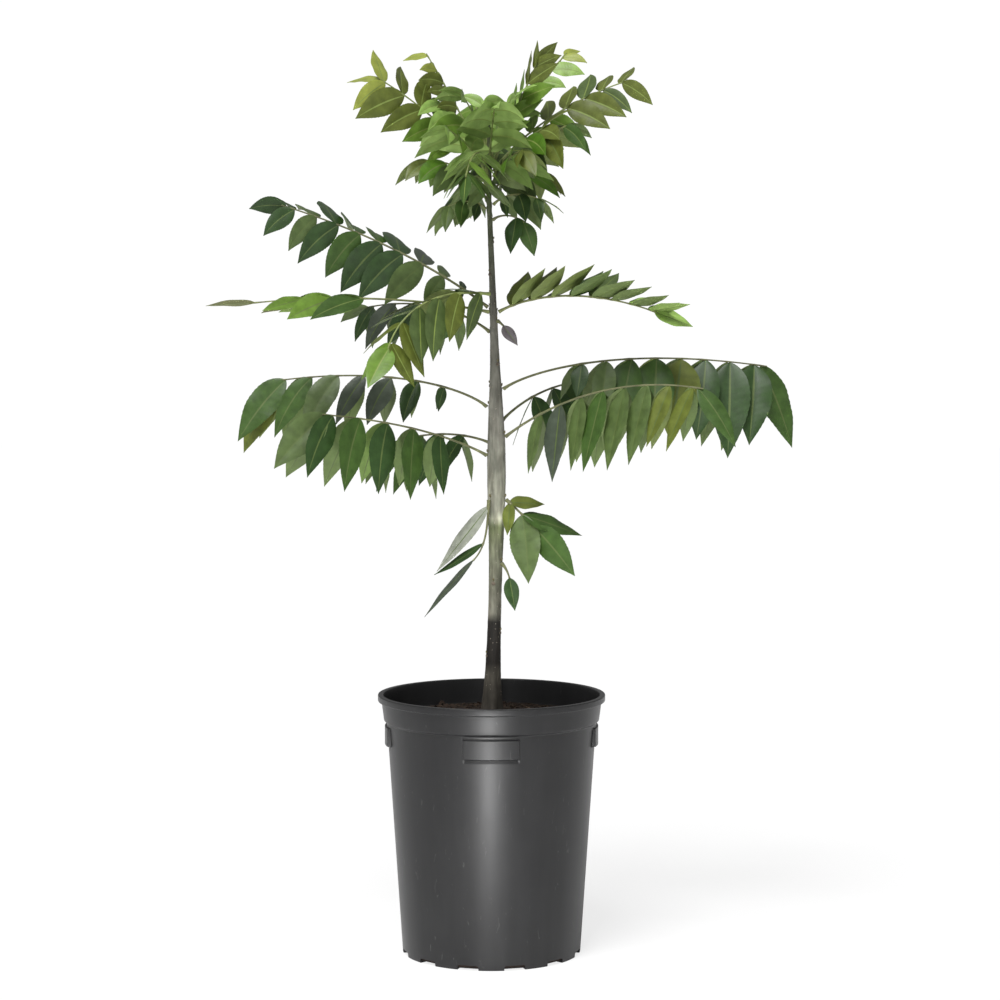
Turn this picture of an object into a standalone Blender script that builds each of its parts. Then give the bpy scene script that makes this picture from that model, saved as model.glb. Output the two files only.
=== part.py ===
"""A young pecan tree in a nursery pot: the pot, its potting mix, one trunk and the compound leaves on it.

Metres, +Z up. The origin is the middle of the pot's flat underside, and the plant is seen along +Y.
"""

import math
import random
from typing import NamedTuple

import bmesh
import bpy
from mathutils import Matrix, Quaternion, Vector
from mathutils.bvhtree import BVHTree

GAP = 0.0003
SHARP_ANGLE = 30
DOWN = Vector((0, 0, -1))

# Nursery pot
POT_HEIGHT = 0.293
POT_SIDES = 48
FOOT_RADIUS = 0.1005
FOOT_BEVEL = 0.0020
WALL_TAPER = 0.0665
WALL = 0.0020
FLOOR = 0.0025
LIP_RADIUS = 0.1280
LIP_HEIGHT = 0.0075
LIP_BEVEL = 0.0014
COLLAR_RADIUS = 0.1212
COLLAR_FLARE = 0.0028
COLLAR_Z = POT_HEIGHT - 0.031
COLLAR_STEP = 0.0018
INNER_STEP = 0.0035
PAD_COUNT = 4
PAD_HALF_STEPS = 2
PAD_RADIUS = 0.1203
PAD_TOP = 0.2585
PAD_BOTTOM = 0.2360
PAD_CHAMFER = 0.0012
SLOT_COUNT = 12
SLOT_WIDTH = 0.024
SLOT_HEIGHT = 0.0055
SLOT_DEPTH = 0.010
SLOT_OVERSHOOT = 0.010

# Potting mix
MIX_SEAT_Z = 0.2700
MIX_EDGE_Z = 0.2656
MIX_SEAT_RADIUS = 0.018
MIX_SHOULDER_RADIUS = 0.070
MIX_CLEARANCE = 0.0005

# Trunk
TRUNK_BASE_Z = MIX_SEAT_Z + GAP
TRUNK_TIP_Z = 0.935
TRUNK_SIDES = 12
TRUNK_RING_STEP = 0.025
TRUNK_BASE_RADIUS = 0.0080
TRUNK_TIP_RADIUS = 0.0018
FLARE_RADIUS = 0.0052
FLARE_HEIGHT = 0.036
SWELL_RADIUS = 0.0050
SWELL_Z = 0.552
SWELL_SPAN = 0.095
BOW_X = 0.0068
BOW_Y = 0.0040
BOW_SHARE = 0.86
LEAN_X = -0.0030

# Compound leaves
RACHIS_STEPS = 40
RACHIS_SIDES = 4
RACHIS_RINGS = 6
RING_CROWDING = 1.3
RACHIS_TAPER = 0.45
PULVINUS_LENGTH = 0.006
PULVINUS_SWELL = 0.7
LONE_PAIR_PLACE = 0.7
END_AT = 0.975
STAGGER = 0.012
HOOK = 0.18
SHINGLE_TWIST = 18
FOOT_POWER = 0.70
TIP_POWER = 1.15
MIDRIB_STEPS = 20
BLADE_STATIONS = (0, 5, 13)
BLADE_THICKNESS = 0.0012
NECK_HALF_WIDTH = 0.0007

# How far a leaflet's seeded draws stray: degrees for the first three, and shares of its own for the rest
HANG_SPREAD = 7
SPLAY_SPREAD = 7
TWIST_SPREAD = 8
LENGTH_SPREAD = 0.12
WIDTH_SPREAD = 0.14
LIMP_SPREAD = 0.35
HOOK_SPREAD = 0.6

# Keeping leaves and leaflets clear of each other
TEST_GROWTH = 0.0005
TRIES = 9
LOOSENING = 0.6
NUDGE_COUNT = 9
NUDGE_TURN = 5
NUDGE_RISE = 0.0022

# Rosette of leaves at the top, from its lowest leaf to its highest, and from its ends to its middle
GOLDEN_ANGLE = 137.5
ROSETTE_COUNT = 16
ROSETTE_FIRST = 205
ROSETTE_SEED = 60
ROSETTE_HEIGHTS = (0.836, 0.906)
ROSETTE_RISES = (50, 80)
ROSETTE_SAGS = (82, 16)
ROSETTE_LENGTHS = (0.050, 0.080)
ROSETTE_PAIRS = (3, 4)
ROSETTE_LEAFLETS = (0.048, 0.056)
ROSETTE_HANGS = (35, 20)

# Finishes: linear red, green and blue, and roughness
FINISHES = {
    "pot_plastic": ((0.055, 0.055, 0.055), 0.42),
    "potting_mix": ((0.028, 0.019, 0.013), 0.95),
    "bark": ((0.235, 0.225, 0.190), 0.80),
    "leaf_dark": ((0.045, 0.095, 0.022), 0.50),
    "leaf_mid": ((0.080, 0.150, 0.030), 0.50),
    "leaf_fresh": ((0.170, 0.265, 0.060), 0.50),
}


class Leaf(NamedTuple):
    """One compound leaf: where its petiole leaves the trunk, and how its rachis and leaflets run.

    Angles are in degrees. Heading 0 is to the right, 90 away from the viewer and 180 to the left.
    """

    name: str
    height: float
    heading: float
    rise: float
    sag: float
    length: float
    pairs: int
    leaflet: float
    hang: float
    seed: int
    bend: float = 0.7
    turn: float = 0.0
    bare: float = 0.24
    last: float = 0.95
    slimness: float = 0.35
    splay: tuple = (20, 38)
    limp: float = 0.7
    fullest: float = 0.5
    least: float = 0.75
    thickness: float = 0.0015
    roll: float = 0.0
    sides: tuple = (1, -1)
    end: tuple = (15, 30)
    green: str = "dark"


# The leaves low on the stem, the four large ones at the graft with two behind them, those of the
# middle of the stem, and the longest ones of the crown.
LEAVES = (
    Leaf("low_left_leaf", 0.512, 228, -86, -46, 0.073, 2, 0.096, -8, 11, bend=2.5, turn=-28, bare=0.1,
         last=0.68, slimness=0.20, splay=(54, 48), fullest=0.0, least=0.8, limp=0.1, roll=-25, sides=(1,),
         end=(0, 10)),
    Leaf("low_right_leaf", 0.512, 338, -38, 6, 0.046, 2, 0.074, 5, 12, bare=0.12, last=0.55, slimness=0.5,
         splay=(40, 50), limp=0.2, fullest=1.0, least=0.55, roll=62, end=(0, 10)),
    Leaf("low_small_leaf", 0.440, 318, -30, 40, 0.020, 0, 0.046, 0, 13, slimness=0.5, limp=0.3, end=(10, 40)),
    Leaf("left_hanging_leaf", 0.562, 202, 32, 27, 0.200, 5, 0.084, 66, 14, bend=0.5, bare=0.31,
         slimness=0.40, splay=(-6, 32), limp=0.6, fullest=0.7, sides=(-1, 1), end=(35, -60)),
    Leaf("left_arching_leaf", 0.616, 164, 53, 61, 0.262, 7, 0.088, 60, 15, bend=0.3, bare=0.22,
         slimness=0.38, splay=(10, 50), limp=0.6, fullest=1.0, least=0.35, sides=(-1, 1), end=(45, -75)),
    Leaf("right_hanging_leaf", 0.583, 337, 36, 45, 0.245, 8, 0.092, 66, 16, bend=1.0, bare=0.20,
         slimness=0.33, splay=(-30, -10), end=(40, 60)),
    Leaf("right_arching_leaf", 0.636, 18, 45, 53, 0.326, 8, 0.108, 66, 17, bend=0.3, bare=0.30,
         slimness=0.46, splay=(-25, -5), fullest=1.0, least=0.40, end=(55, 80)),
    Leaf("back_left_leaf", 0.575, 128, 14, 30, 0.220, 5, 0.076, 60, 18, slimness=0.42, sides=(-1, 1)),
    Leaf("back_right_leaf", 0.600, 52, 34, 46, 0.270, 6, 0.086, 60, 19, slimness=0.42, splay=(-10, 20)),
    Leaf("middle_left_leaf", 0.722, 189, 12, 18, 0.268, 3, 0.074, 20, 20, bend=0.8, bare=0.54, last=0.78,
         slimness=0.40, splay=(60, 60), limp=0.1, fullest=0.3, sides=(-1, 1), end=(0, 20), green="mid"),
    Leaf("upper_left_leaf", 0.725, 168, 39, 22, 0.262, 9, 0.072, 22, 21, bare=0.14, slimness=0.46,
         splay=(15, 38), limp=0.5, roll=-45, fullest=0.55, least=0.40, sides=(-1, 1), end=(0, -75)),
    Leaf("middle_front_leaf", 0.742, 212, 4, 78, 0.158, 6, 0.072, 32, 22, bend=1.6, bare=0.08,
         slimness=0.44, splay=(38, 40), limp=0.4, roll=-35, sides=(-1, 1), end=(0, -30), green="fresh"),
    Leaf("middle_small_leaf", 0.712, 322, -25, 15, 0.010, 0, 0.044, 0, 23, slimness=0.45, limp=0.1,
         end=(0, 40)),
    Leaf("middle_right_leaf", 0.722, 2, 34, 55, 0.184, 8, 0.062, -44, 24, bend=0.6, bare=0.10,
         slimness=0.46, splay=(46, 56), limp=0.0, fullest=0.4, end=(0, 50), green="mid"),
    Leaf("middle_back_leaf", 0.700, 146, 36, 46, 0.178, 5, 0.068, 50, 25, slimness=0.42, sides=(-1, 1)),
    Leaf("crown_left_leaf", 0.868, 186, 62, 32, 0.165, 5, 0.060, 10, 31, bare=0.34, slimness=0.44,
         splay=(20, 35), limp=0.3, roll=-60, sides=(-1, 1), end=(30, 30), thickness=0.0013, green="fresh"),
    Leaf("crown_top_left_leaf", 0.885, 164, 66, 8, 0.142, 5, 0.038, 20, 32, bare=0.40, last=0.85,
         slimness=0.46, splay=(30, 40), sides=(-1, 1), end=(50, -40), thickness=0.0013, green="fresh"),
    Leaf("crown_top_right_leaf", 0.888, 345, 66, 2, 0.120, 5, 0.044, 15, 33, bare=0.30, slimness=0.44,
         splay=(55, 60), limp=0.1, roll=60, end=(0, 40), thickness=0.0013, green="fresh"),
    Leaf("crown_right_leaf", 0.878, 6, 56, 38, 0.187, 6, 0.052, 14, 41, bare=0.34, slimness=0.46,
         splay=(34, 45), limp=0.3, roll=50, end=(60, 0), thickness=0.0013, green="fresh"),
    Leaf("crown_right_near_leaf", 0.864, 338, 55, 34, 0.110, 4, 0.058, 35, 35, bare=0.28, slimness=0.44,
         splay=(20, 40), roll=20, end=(60, 30), thickness=0.0013, green="mid"),
    Leaf("crown_right_far_leaf", 0.880, 36, 64, 24, 0.175, 3, 0.036, 20, 36, bare=0.70, slimness=0.45,
         splay=(30, 40), thickness=0.0013, green="fresh"),
    Leaf("crown_near_leaf", 0.870, 258, 64, 112, 0.130, 5, 0.050, 25, 37, bare=0.28, slimness=0.44,
         splay=(25, 40), thickness=0.0013, green="fresh"),
    Leaf("crown_far_leaf", 0.874, 98, 60, 38, 0.140, 5, 0.052, 30, 38, bare=0.28, slimness=0.44,
         splay=(25, 40), thickness=0.0013, green="fresh"),
    Leaf("crown_low_leaf", 0.824, 322, 36, 70, 0.046, 1, 0.050, 50, 39, slimness=0.48, splay=(20, 40),
         end=(30, 40), thickness=0.0013, green="dark"),
)


def mixed(low, high, share):
    return low + (high - low) * share


def rosette_leaves():
    """The crown's close leaves climb the stem in a spiral, from drooping ones to upright ones at its top."""
    for i in range(ROSETTE_COUNT):
        share = i / (ROSETTE_COUNT - 1)
        middle = math.sin(math.pi * share)
        yield Leaf(
            f"crown_leaf_{i + 1:02d}",
            height=mixed(*ROSETTE_HEIGHTS, share),
            heading=(ROSETTE_FIRST + i * GOLDEN_ANGLE) % 360,
            rise=mixed(*ROSETTE_RISES, share),
            sag=mixed(*ROSETTE_SAGS, share),
            length=mixed(*ROSETTE_LENGTHS, middle),
            pairs=round(mixed(*ROSETTE_PAIRS, middle)),
            leaflet=mixed(*ROSETTE_LEAFLETS, middle),
            hang=mixed(*ROSETTE_HANGS, share),
            seed=ROSETTE_SEED + i,
            bare=0.2,
            slimness=0.42,
            splay=(20, 45),
            thickness=0.0013,
            green="mid" if share < 0.5 else "fresh",
        )


class Blade(NamedTuple):
    """One leaflet: its root, the way it starts, its upper side, its size and how it bends."""

    root: Vector
    along: Vector
    up: Vector
    length: float
    width: float
    limp: float
    hook: float


def clear_scene():
    for obj in list(bpy.data.objects):
        bpy.data.objects.remove(obj, do_unlink=True)


def material(name):
    color, roughness = FINISHES[name]
    made = bpy.data.materials.new(name)
    made.use_nodes = True
    shader = made.node_tree.nodes["Principled BSDF"]
    shader.inputs["Base Color"].default_value = (*color, 1.0)
    shader.inputs["Roughness"].default_value = roughness
    shader.inputs["Metallic"].default_value = 0.0
    return made


def link(name, mesh, finish):
    obj = bpy.data.objects.new(name, mesh)
    bpy.context.scene.collection.objects.link(obj)
    mesh.materials.append(finish)
    return obj


def shade_round(obj):
    obj.data.shade_smooth()
    obj.data.set_sharp_from_angle(angle=math.radians(SHARP_ANGLE))


def mesh_of(name, vertices, faces):
    mesh = bpy.data.meshes.new(name)
    mesh.from_pydata(vertices, [], faces)
    mesh.update()
    return mesh


# Turned shapes


def turned(name, profile, steps, start=0.0, angle=math.tau):
    """Spins a closed profile of (radius, height) about Z. A full turn closes, and a part turn gets caps."""
    full = angle > math.tau - 1e-6
    shape = bmesh.new()
    corners = [
        shape.verts.new((r * math.cos(start), r * math.sin(start), z)) for r, z in profile
    ]
    edges = [shape.edges.new((a, b)) for a, b in zip(corners, corners[1:] + corners[:1])]
    bmesh.ops.spin(
        shape, geom=corners + edges, cent=(0, 0, 0), axis=(0, 0, 1),
        angle=angle, steps=steps, use_merge=full, use_duplicate=False,
    )
    bmesh.ops.remove_doubles(shape, verts=shape.verts, dist=1e-6)
    if not full:
        bmesh.ops.holes_fill(shape, edges=shape.edges, sides=0)
    bmesh.ops.recalc_face_normals(shape, faces=shape.faces)
    mesh = bpy.data.meshes.new(name)
    shape.to_mesh(mesh)
    shape.free()
    return mesh


def combine(obj, tools, operation, solver="EXACT"):
    """Joins or cuts obj with a collection of closed tools, then removes the tools."""
    group = bpy.data.collections.new(obj.name + "_tools")
    for tool in tools:
        group.objects.link(tool)
    cut = obj.modifiers.new(operation.title(), "BOOLEAN")
    cut.operation = operation
    cut.solver = solver
    cut.operand_type = "COLLECTION"
    cut.collection = group
    bpy.context.view_layer.update()
    graph = bpy.context.evaluated_depsgraph_get()
    result = bpy.data.meshes.new_from_object(obj.evaluated_get(graph), depsgraph=graph)
    obj.modifiers.remove(cut)
    old = obj.data
    obj.data = result
    bpy.data.meshes.remove(old)
    for tool in tools:
        bpy.data.objects.remove(tool, do_unlink=True)
    bpy.data.collections.remove(group)


# Nursery pot and its filling


def wall_radius(z):
    return FOOT_RADIUS + WALL_TAPER * z


def pot_profile():
    """The pot's section from the middle of its underside up the outside, over the lip and down inside."""
    lip_z = POT_HEIGHT - LIP_HEIGHT
    collar_top = COLLAR_RADIUS + COLLAR_FLARE
    inner_top = collar_top - WALL
    return [
        (0, 0),
        (FOOT_RADIUS - FOOT_BEVEL, 0),
        (wall_radius(FOOT_BEVEL), FOOT_BEVEL),
        (wall_radius(COLLAR_Z), COLLAR_Z),
        (COLLAR_RADIUS, COLLAR_Z + COLLAR_STEP),
        (collar_top, lip_z),
        (LIP_RADIUS - LIP_BEVEL, lip_z),
        (LIP_RADIUS, lip_z + LIP_BEVEL),
        (LIP_RADIUS, POT_HEIGHT - LIP_BEVEL),
        (LIP_RADIUS - LIP_BEVEL, POT_HEIGHT),
        (inner_top + LIP_BEVEL, POT_HEIGHT),
        (inner_top, POT_HEIGHT - LIP_BEVEL),
        (COLLAR_RADIUS - WALL, COLLAR_Z + INNER_STEP),
        (wall_radius(COLLAR_Z) - WALL, COLLAR_Z),
        (wall_radius(FLOOR) - WALL, FLOOR),
        (0, FLOOR),
    ]


def grip_pads(finish):
    """Raised pads moulded under the collar, sunk into the wall."""
    step = math.tau / POT_SIDES
    profile = [
        (wall_radius(PAD_BOTTOM) - WALL / 2, PAD_BOTTOM),
        (PAD_RADIUS - PAD_CHAMFER, PAD_BOTTOM),
        (PAD_RADIUS, PAD_BOTTOM + PAD_CHAMFER),
        (PAD_RADIUS, PAD_TOP - PAD_CHAMFER),
        (PAD_RADIUS - PAD_CHAMFER, PAD_TOP),
        (wall_radius(PAD_TOP) - WALL / 2, PAD_TOP),
    ]
    for i in range(PAD_COUNT):
        start = i * math.tau / PAD_COUNT - PAD_HALF_STEPS * step
        mesh = turned("pad", profile, 2 * PAD_HALF_STEPS, start, 2 * PAD_HALF_STEPS * step)
        yield link("pad", mesh, finish)


def drain_slots(finish):
    """Box cutters round the foot, which open the corner between wall and floor."""
    middle = FOOT_RADIUS + (SLOT_OVERSHOOT - SLOT_DEPTH) / 2
    for i in range(SLOT_COUNT):
        angle = (i + 0.5) * math.tau / SLOT_COUNT
        shape = bmesh.new()
        bmesh.ops.create_cube(shape, size=1)
        mesh = bpy.data.meshes.new("slot")
        shape.to_mesh(mesh)
        shape.free()
        mesh.transform(Matrix.Diagonal((SLOT_DEPTH + SLOT_OVERSHOOT, SLOT_WIDTH, 2 * SLOT_HEIGHT, 1)))
        cutter = link("slot", mesh, finish)
        cutter.location = (middle * math.cos(angle), middle * math.sin(angle), 0)
        cutter.rotation_euler.z = angle
        yield cutter


def make_pot():
    finish = material("pot_plastic")
    pot = link("pot", turned("pot", pot_profile(), POT_SIDES), finish)
    combine(pot, list(grip_pads(finish)), "UNION")
    combine(pot, list(drain_slots(finish)), "DIFFERENCE")
    shade_round(pot)
    return pot


def make_potting_mix():
    """The mix fills the pot, slightly mounded, with a flat seat for the trunk."""
    bottom = FLOOR + GAP
    profile = [
        (0, bottom),
        (wall_radius(bottom) - WALL - MIX_CLEARANCE, bottom),
        (wall_radius(COLLAR_Z) - WALL - MIX_CLEARANCE, COLLAR_Z),
        (COLLAR_RADIUS - WALL - MIX_CLEARANCE, MIX_EDGE_Z),
        (MIX_SHOULDER_RADIUS, (MIX_SEAT_Z + MIX_EDGE_Z) / 2),
        (MIX_SEAT_RADIUS, MIX_SEAT_Z),
        (0, MIX_SEAT_Z),
    ]
    mesh = turned("potting_mix", profile, POT_SIDES)
    shade_round(link("potting_mix", mesh, material("potting_mix")))


# Trunk


def trunk_radius(z):
    share = (z - TRUNK_BASE_Z) / (TRUNK_TIP_Z - TRUNK_BASE_Z)
    taper = TRUNK_BASE_RADIUS + (TRUNK_TIP_RADIUS - TRUNK_BASE_RADIUS) * share
    flare = FLARE_RADIUS * math.exp(-(z - TRUNK_BASE_Z) / FLARE_HEIGHT)
    swell = SWELL_RADIUS * math.exp(-(((z - SWELL_Z) / SWELL_SPAN) ** 2))
    return taper + flare + swell


def trunk_axis(z):
    share = (z - TRUNK_BASE_Z) / (TRUNK_TIP_Z - TRUNK_BASE_Z)
    bow = math.sin(math.pi * min(share / BOW_SHARE, 1.0))
    return Vector((BOW_X * bow + LEAN_X * share, BOW_Y * math.sin(math.tau * share), z))


def ring(center, across, over, radius, sides):
    turns = [i * math.tau / sides for i in range(sides)]
    return [center + radius * (math.cos(t) * across + math.sin(t) * over) for t in turns]


def tube(rings):
    """Vertices and faces of a closed tube through rings of equal count, with flat ends."""
    sides = len(rings[0])
    vertices = [point for loop in rings for point in loop]
    faces = []
    for level in range(len(rings) - 1):
        low = level * sides
        for i in range(sides):
            j = (i + 1) % sides
            faces.append((low + i, low + j, low + sides + j, low + sides + i))
    faces.append(tuple(reversed(range(sides))))
    faces.append(tuple(range(len(vertices) - sides, len(vertices))))
    return vertices, faces


def make_trunk():
    count = round((TRUNK_TIP_Z - TRUNK_BASE_Z) / TRUNK_RING_STEP)
    heights = [TRUNK_BASE_Z + (TRUNK_TIP_Z - TRUNK_BASE_Z) * i / count for i in range(count + 1)]
    across, over = Vector((1, 0, 0)), Vector((0, 1, 0))
    rings = [ring(trunk_axis(z), across, over, trunk_radius(z), TRUNK_SIDES) for z in heights]
    shape = tube(rings)
    shade_round(link("trunk", mesh_of("trunk", *shape), material("bark")))
    return shape


# Compound leaves


def level_way(degrees):
    """The level direction of a heading, and the level direction to its right."""
    turn = math.radians(degrees)
    return Vector((math.cos(turn), math.sin(turn), 0)), Vector((math.sin(turn), -math.cos(turn), 0))


def rachis_frame(leaf, share):
    """Directions along, beside and above a leaf's rachis at a share of its length."""
    outward, side = level_way(leaf.heading + leaf.turn * share)
    slope = math.radians(leaf.rise - leaf.sag * share ** leaf.bend)
    along = outward * math.cos(slope) + Vector((0, 0, math.sin(slope)))
    side.rotate(Quaternion(along, math.radians(leaf.roll * min(share / leaf.bare, 1.0))))
    return along, side, side.cross(along)


def rachis_points(leaf):
    """(point, along, side, normal) at equal steps down a leaf's petiole and rachis."""
    outward, _ = level_way(leaf.heading)
    foot = leaf.thickness * (1 + PULVINUS_SWELL) * abs(math.sin(math.radians(leaf.rise)))
    point = trunk_axis(leaf.height) + outward * (trunk_radius(leaf.height) + GAP + foot)
    found = []
    for i in range(RACHIS_STEPS + 1):
        found.append((point.copy(), *rachis_frame(leaf, i / RACHIS_STEPS)))
        ahead, _, _ = rachis_frame(leaf, (i + 0.5) / RACHIS_STEPS)
        point += ahead * leaf.length / RACHIS_STEPS
    return found


def rachis_radius(leaf, share):
    taper = leaf.thickness * (1 - RACHIS_TAPER * share)
    return taper * (1 + PULVINUS_SWELL * math.exp(-share * leaf.length / PULVINUS_LENGTH))


def ring_steps():
    """The steps of the rachis that carry a ring, closer together at the swollen foot."""
    return [round(RACHIS_STEPS * (i / (RACHIS_RINGS - 1)) ** RING_CROWDING) for i in range(RACHIS_RINGS)]


def middle_at(frames, step):
    """The middle of the rachis at a step, on the straight line between its two nearest rings."""
    low = max(pick for pick in ring_steps() if pick <= step)
    high = min(pick for pick in ring_steps() if pick >= step)
    return frames[low][0].lerp(frames[high][0], (step - low) / max(high - low, 1))


def rachis_shape(leaf, grow=0.0):
    """The petiole and rachis as a tube."""
    frames = rachis_points(leaf)
    rings = []
    for pick in ring_steps():
        point, _, side, normal = frames[pick]
        radius = rachis_radius(leaf, pick / RACHIS_STEPS) + grow
        rings.append(ring(point, normal, side, radius, RACHIS_SIDES))
    return tube(rings)


def spread_apart(leaves):
    """Moves a leaf along and round the trunk, by as little as it takes, off the rachises before it."""
    settled, trees = [], []
    for leaf in leaves:
        for nudge in [0] + [sign * i for i in range(1, NUDGE_COUNT) for sign in (1, -1)]:
            heading = leaf.heading + nudge * NUDGE_TURN
            moved = leaf._replace(height=leaf.height + nudge * NUDGE_RISE, heading=heading)
            grown = BVHTree.FromPolygons(*rachis_shape(moved, TEST_GROWTH))
            if not any(grown.overlap(tree) for tree in trees):
                break
        settled.append(moved)
        trees.append(BVHTree.FromPolygons(*rachis_shape(moved)))
    return settled, trees


def outline(share):
    """A leaflet's width at a share of its length, as a share of the widest: a full foot, a long tip."""
    peak = FOOT_POWER / (FOOT_POWER + TIP_POWER)
    return (share / peak) ** FOOT_POWER * ((1 - share) / (1 - peak)) ** TIP_POWER


def midrib(blade, steps):
    """(point, across, normal) at equal steps down a leaflet's midrib, which hooks and sags."""
    pull = DOWN * blade.limp + blade.along.cross(blade.up) * blade.hook
    point = blade.root.copy()
    found = []
    for i in range(steps + 1):
        along = (blade.along + pull * (i / steps)).normalized()
        across = along.cross(blade.up).normalized()
        found.append((point.copy(), across, across.cross(along)))
        ahead = (blade.along + pull * ((i + 0.5) / steps)).normalized()
        point += ahead * blade.length / steps
    return found


def blade_shape(blade, grow=0.0):
    """A leaflet as a closed blade: flat above, with thin margins and a keel for its midrib below."""
    frames = midrib(blade, MIDRIB_STEPS)
    thick = BLADE_THICKNESS / 2 + grow
    vertices, faces = [], []
    for station in BLADE_STATIONS:
        point, across, normal = frames[station]
        half = max(blade.width / 2 * outline(station / MIDRIB_STEPS), NECK_HALF_WIDTH) + grow
        vertices += [point - across * half + normal * thick]
        vertices += [point + across * half + normal * thick]
        vertices += [point - normal * thick]
    tip = len(vertices)
    vertices.append(frames[-1][0])
    for low in range(0, tip - 3, 3):
        for i in range(3):
            j = (i + 1) % 3
            faces.append((low + i, low + j, low + 3 + j, low + 3 + i))
    faces.append((2, 1, 0))
    faces += [(tip - 3 + i, tip - 3 + (i + 1) % 3, tip) for i in range(3)]
    return vertices, faces


def leaflet_size(leaf, place):
    """Leaflets are largest at one place on the rachis, and shorter to either side of it."""
    away = (place - leaf.fullest) / max(leaf.fullest, 1 - leaf.fullest)
    return leaf.leaflet * (1 - (1 - leaf.least) * away * away)


def leaflet_blade(leaf, frames, side_sign, place, share, source, loose):
    """A leaflet with its seeded turns, wider when loose is over 1. side_sign is 0 for the end one."""

    def draw(most):
        return source.uniform(-most, most)

    end_hang, end_twist = leaf.end
    hang = math.radians((leaf.hang if side_sign else end_hang) + draw(HANG_SPREAD) * loose)
    splay = math.radians(mixed(*leaf.splay, place) + draw(SPLAY_SPREAD) * loose)
    twist = math.radians((side_sign * SHINGLE_TWIST or end_twist) + draw(TWIST_SPREAD) * loose)
    step = RACHIS_STEPS * share
    _, along, side, normal = frames[round(step)]
    if side_sign:
        out = side * side_sign * math.cos(hang) - normal * math.sin(hang)
        start = out * math.cos(splay) + along * math.sin(splay)
        up = side_sign * out.cross(along)
    else:
        start = along * math.cos(hang) - normal * math.sin(hang)
        up = normal
    start.normalize()
    up = (up - start * up.dot(start)).normalized()
    up = up * math.cos(twist) + start.cross(up) * math.sin(twist)
    length = leaflet_size(leaf, place) * (1 + draw(LENGTH_SPREAD))
    width = length * leaf.slimness * (1 + draw(WIDTH_SPREAD))
    limp = leaf.limp * (1 + draw(LIMP_SPREAD))
    hook = side_sign * HOOK * (1 + draw(HOOK_SPREAD))
    return Blade(middle_at(frames, step), start, up, length, width, limp, hook)


def past_neck(shape):
    """The part of a leaflet beyond its narrow neck, as its own polygons."""
    vertices, faces = shape
    return vertices, [face for face in faces if min(face) >= 3]


def is_clear(shape, obstacles, leaf_name):
    """Whether a leaflet touches nothing, apart from its neck where it joins its own leaf."""
    whole = BVHTree.FromPolygons(*shape)
    outer = BVHTree.FromPolygons(*past_neck(shape))
    for owner, tree, outer_tree in obstacles:
        found = outer.overlap(outer_tree) if owner == leaf_name else whole.overlap(tree)
        if found:
            return False
    return True


def leaflet_places(leaf):
    """(side, place, share) of each leaflet from the first to the end one; pairs are slightly staggered."""
    for i in range(leaf.pairs):
        place = i / (leaf.pairs - 1) if leaf.pairs > 1 else LONE_PAIR_PLACE
        share = mixed(leaf.bare, leaf.last, place)
        for side_sign in leaf.sides:
            yield side_sign, place, share - STAGGER * (side_sign < 0)
    yield 0, 1.0, END_AT


def grow_leaflets(leaf, obstacles):
    """Places the leaflets one by one. Each tries wider turns until it is clear, and else is left out."""
    source = random.Random(leaf.seed)
    frames = rachis_points(leaf)
    blades = []
    for side_sign, place, share in leaflet_places(leaf):
        for attempt in range(TRIES):
            loose = 1 + LOOSENING * attempt
            blade = leaflet_blade(leaf, frames, side_sign, place, share, source, loose)
            if is_clear(blade_shape(blade, TEST_GROWTH), obstacles, leaf.name):
                blades.append(blade)
                shape = blade_shape(blade)
                outer = BVHTree.FromPolygons(*past_neck(shape))
                obstacles.append((leaf.name, BVHTree.FromPolygons(*shape), outer))
                break
    return blades


def make_leaf(leaf, blades, finish):
    """Fuses a leaf's leaflets onto its rachis."""
    obj = link(leaf.name, mesh_of(leaf.name, *rachis_shape(leaf)), finish)
    tools = [link("leaflet", mesh_of("leaflet", *blade_shape(blade)), finish) for blade in blades]
    combine(obj, tools, "UNION", "MANIFOLD")


def main():
    clear_scene()
    pot = make_pot()
    make_potting_mix()
    trunk_shape = make_trunk()
    pot_polygons = [tuple(p.vertices) for p in pot.data.polygons]
    pot_tree = BVHTree.FromPolygons([v.co for v in pot.data.vertices], pot_polygons)
    trunk_tree = BVHTree.FromPolygons(*trunk_shape)
    leaves, trees = spread_apart([*LEAVES, *rosette_leaves()])
    obstacles = [("pot", pot_tree, pot_tree), ("trunk", trunk_tree, trunk_tree)]
    obstacles += [(leaf.name, tree, tree) for leaf, tree in zip(leaves, trees)]
    greens = {green: material("leaf_" + green) for green in ("dark", "mid", "fresh")}
    for leaf in leaves:
        make_leaf(leaf, grow_leaflets(leaf, obstacles), greens[leaf.green])


main()
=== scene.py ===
"""The looks of a young pecan tree in a nursery pot: plastic, potting mix, bark, leaf stalks and leaflets.

Metres, +Z up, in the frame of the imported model. The origin is the middle of the pot's underside, and the
plant is seen along +Y. The leaves grow by the same rule as the model's solids, carried to fine leaflets.
"""

import math
import random
from typing import NamedTuple

import bmesh
import bpy
import numpy as np
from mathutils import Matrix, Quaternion, Vector, noise
from mathutils.bvhtree import BVHTree


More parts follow.
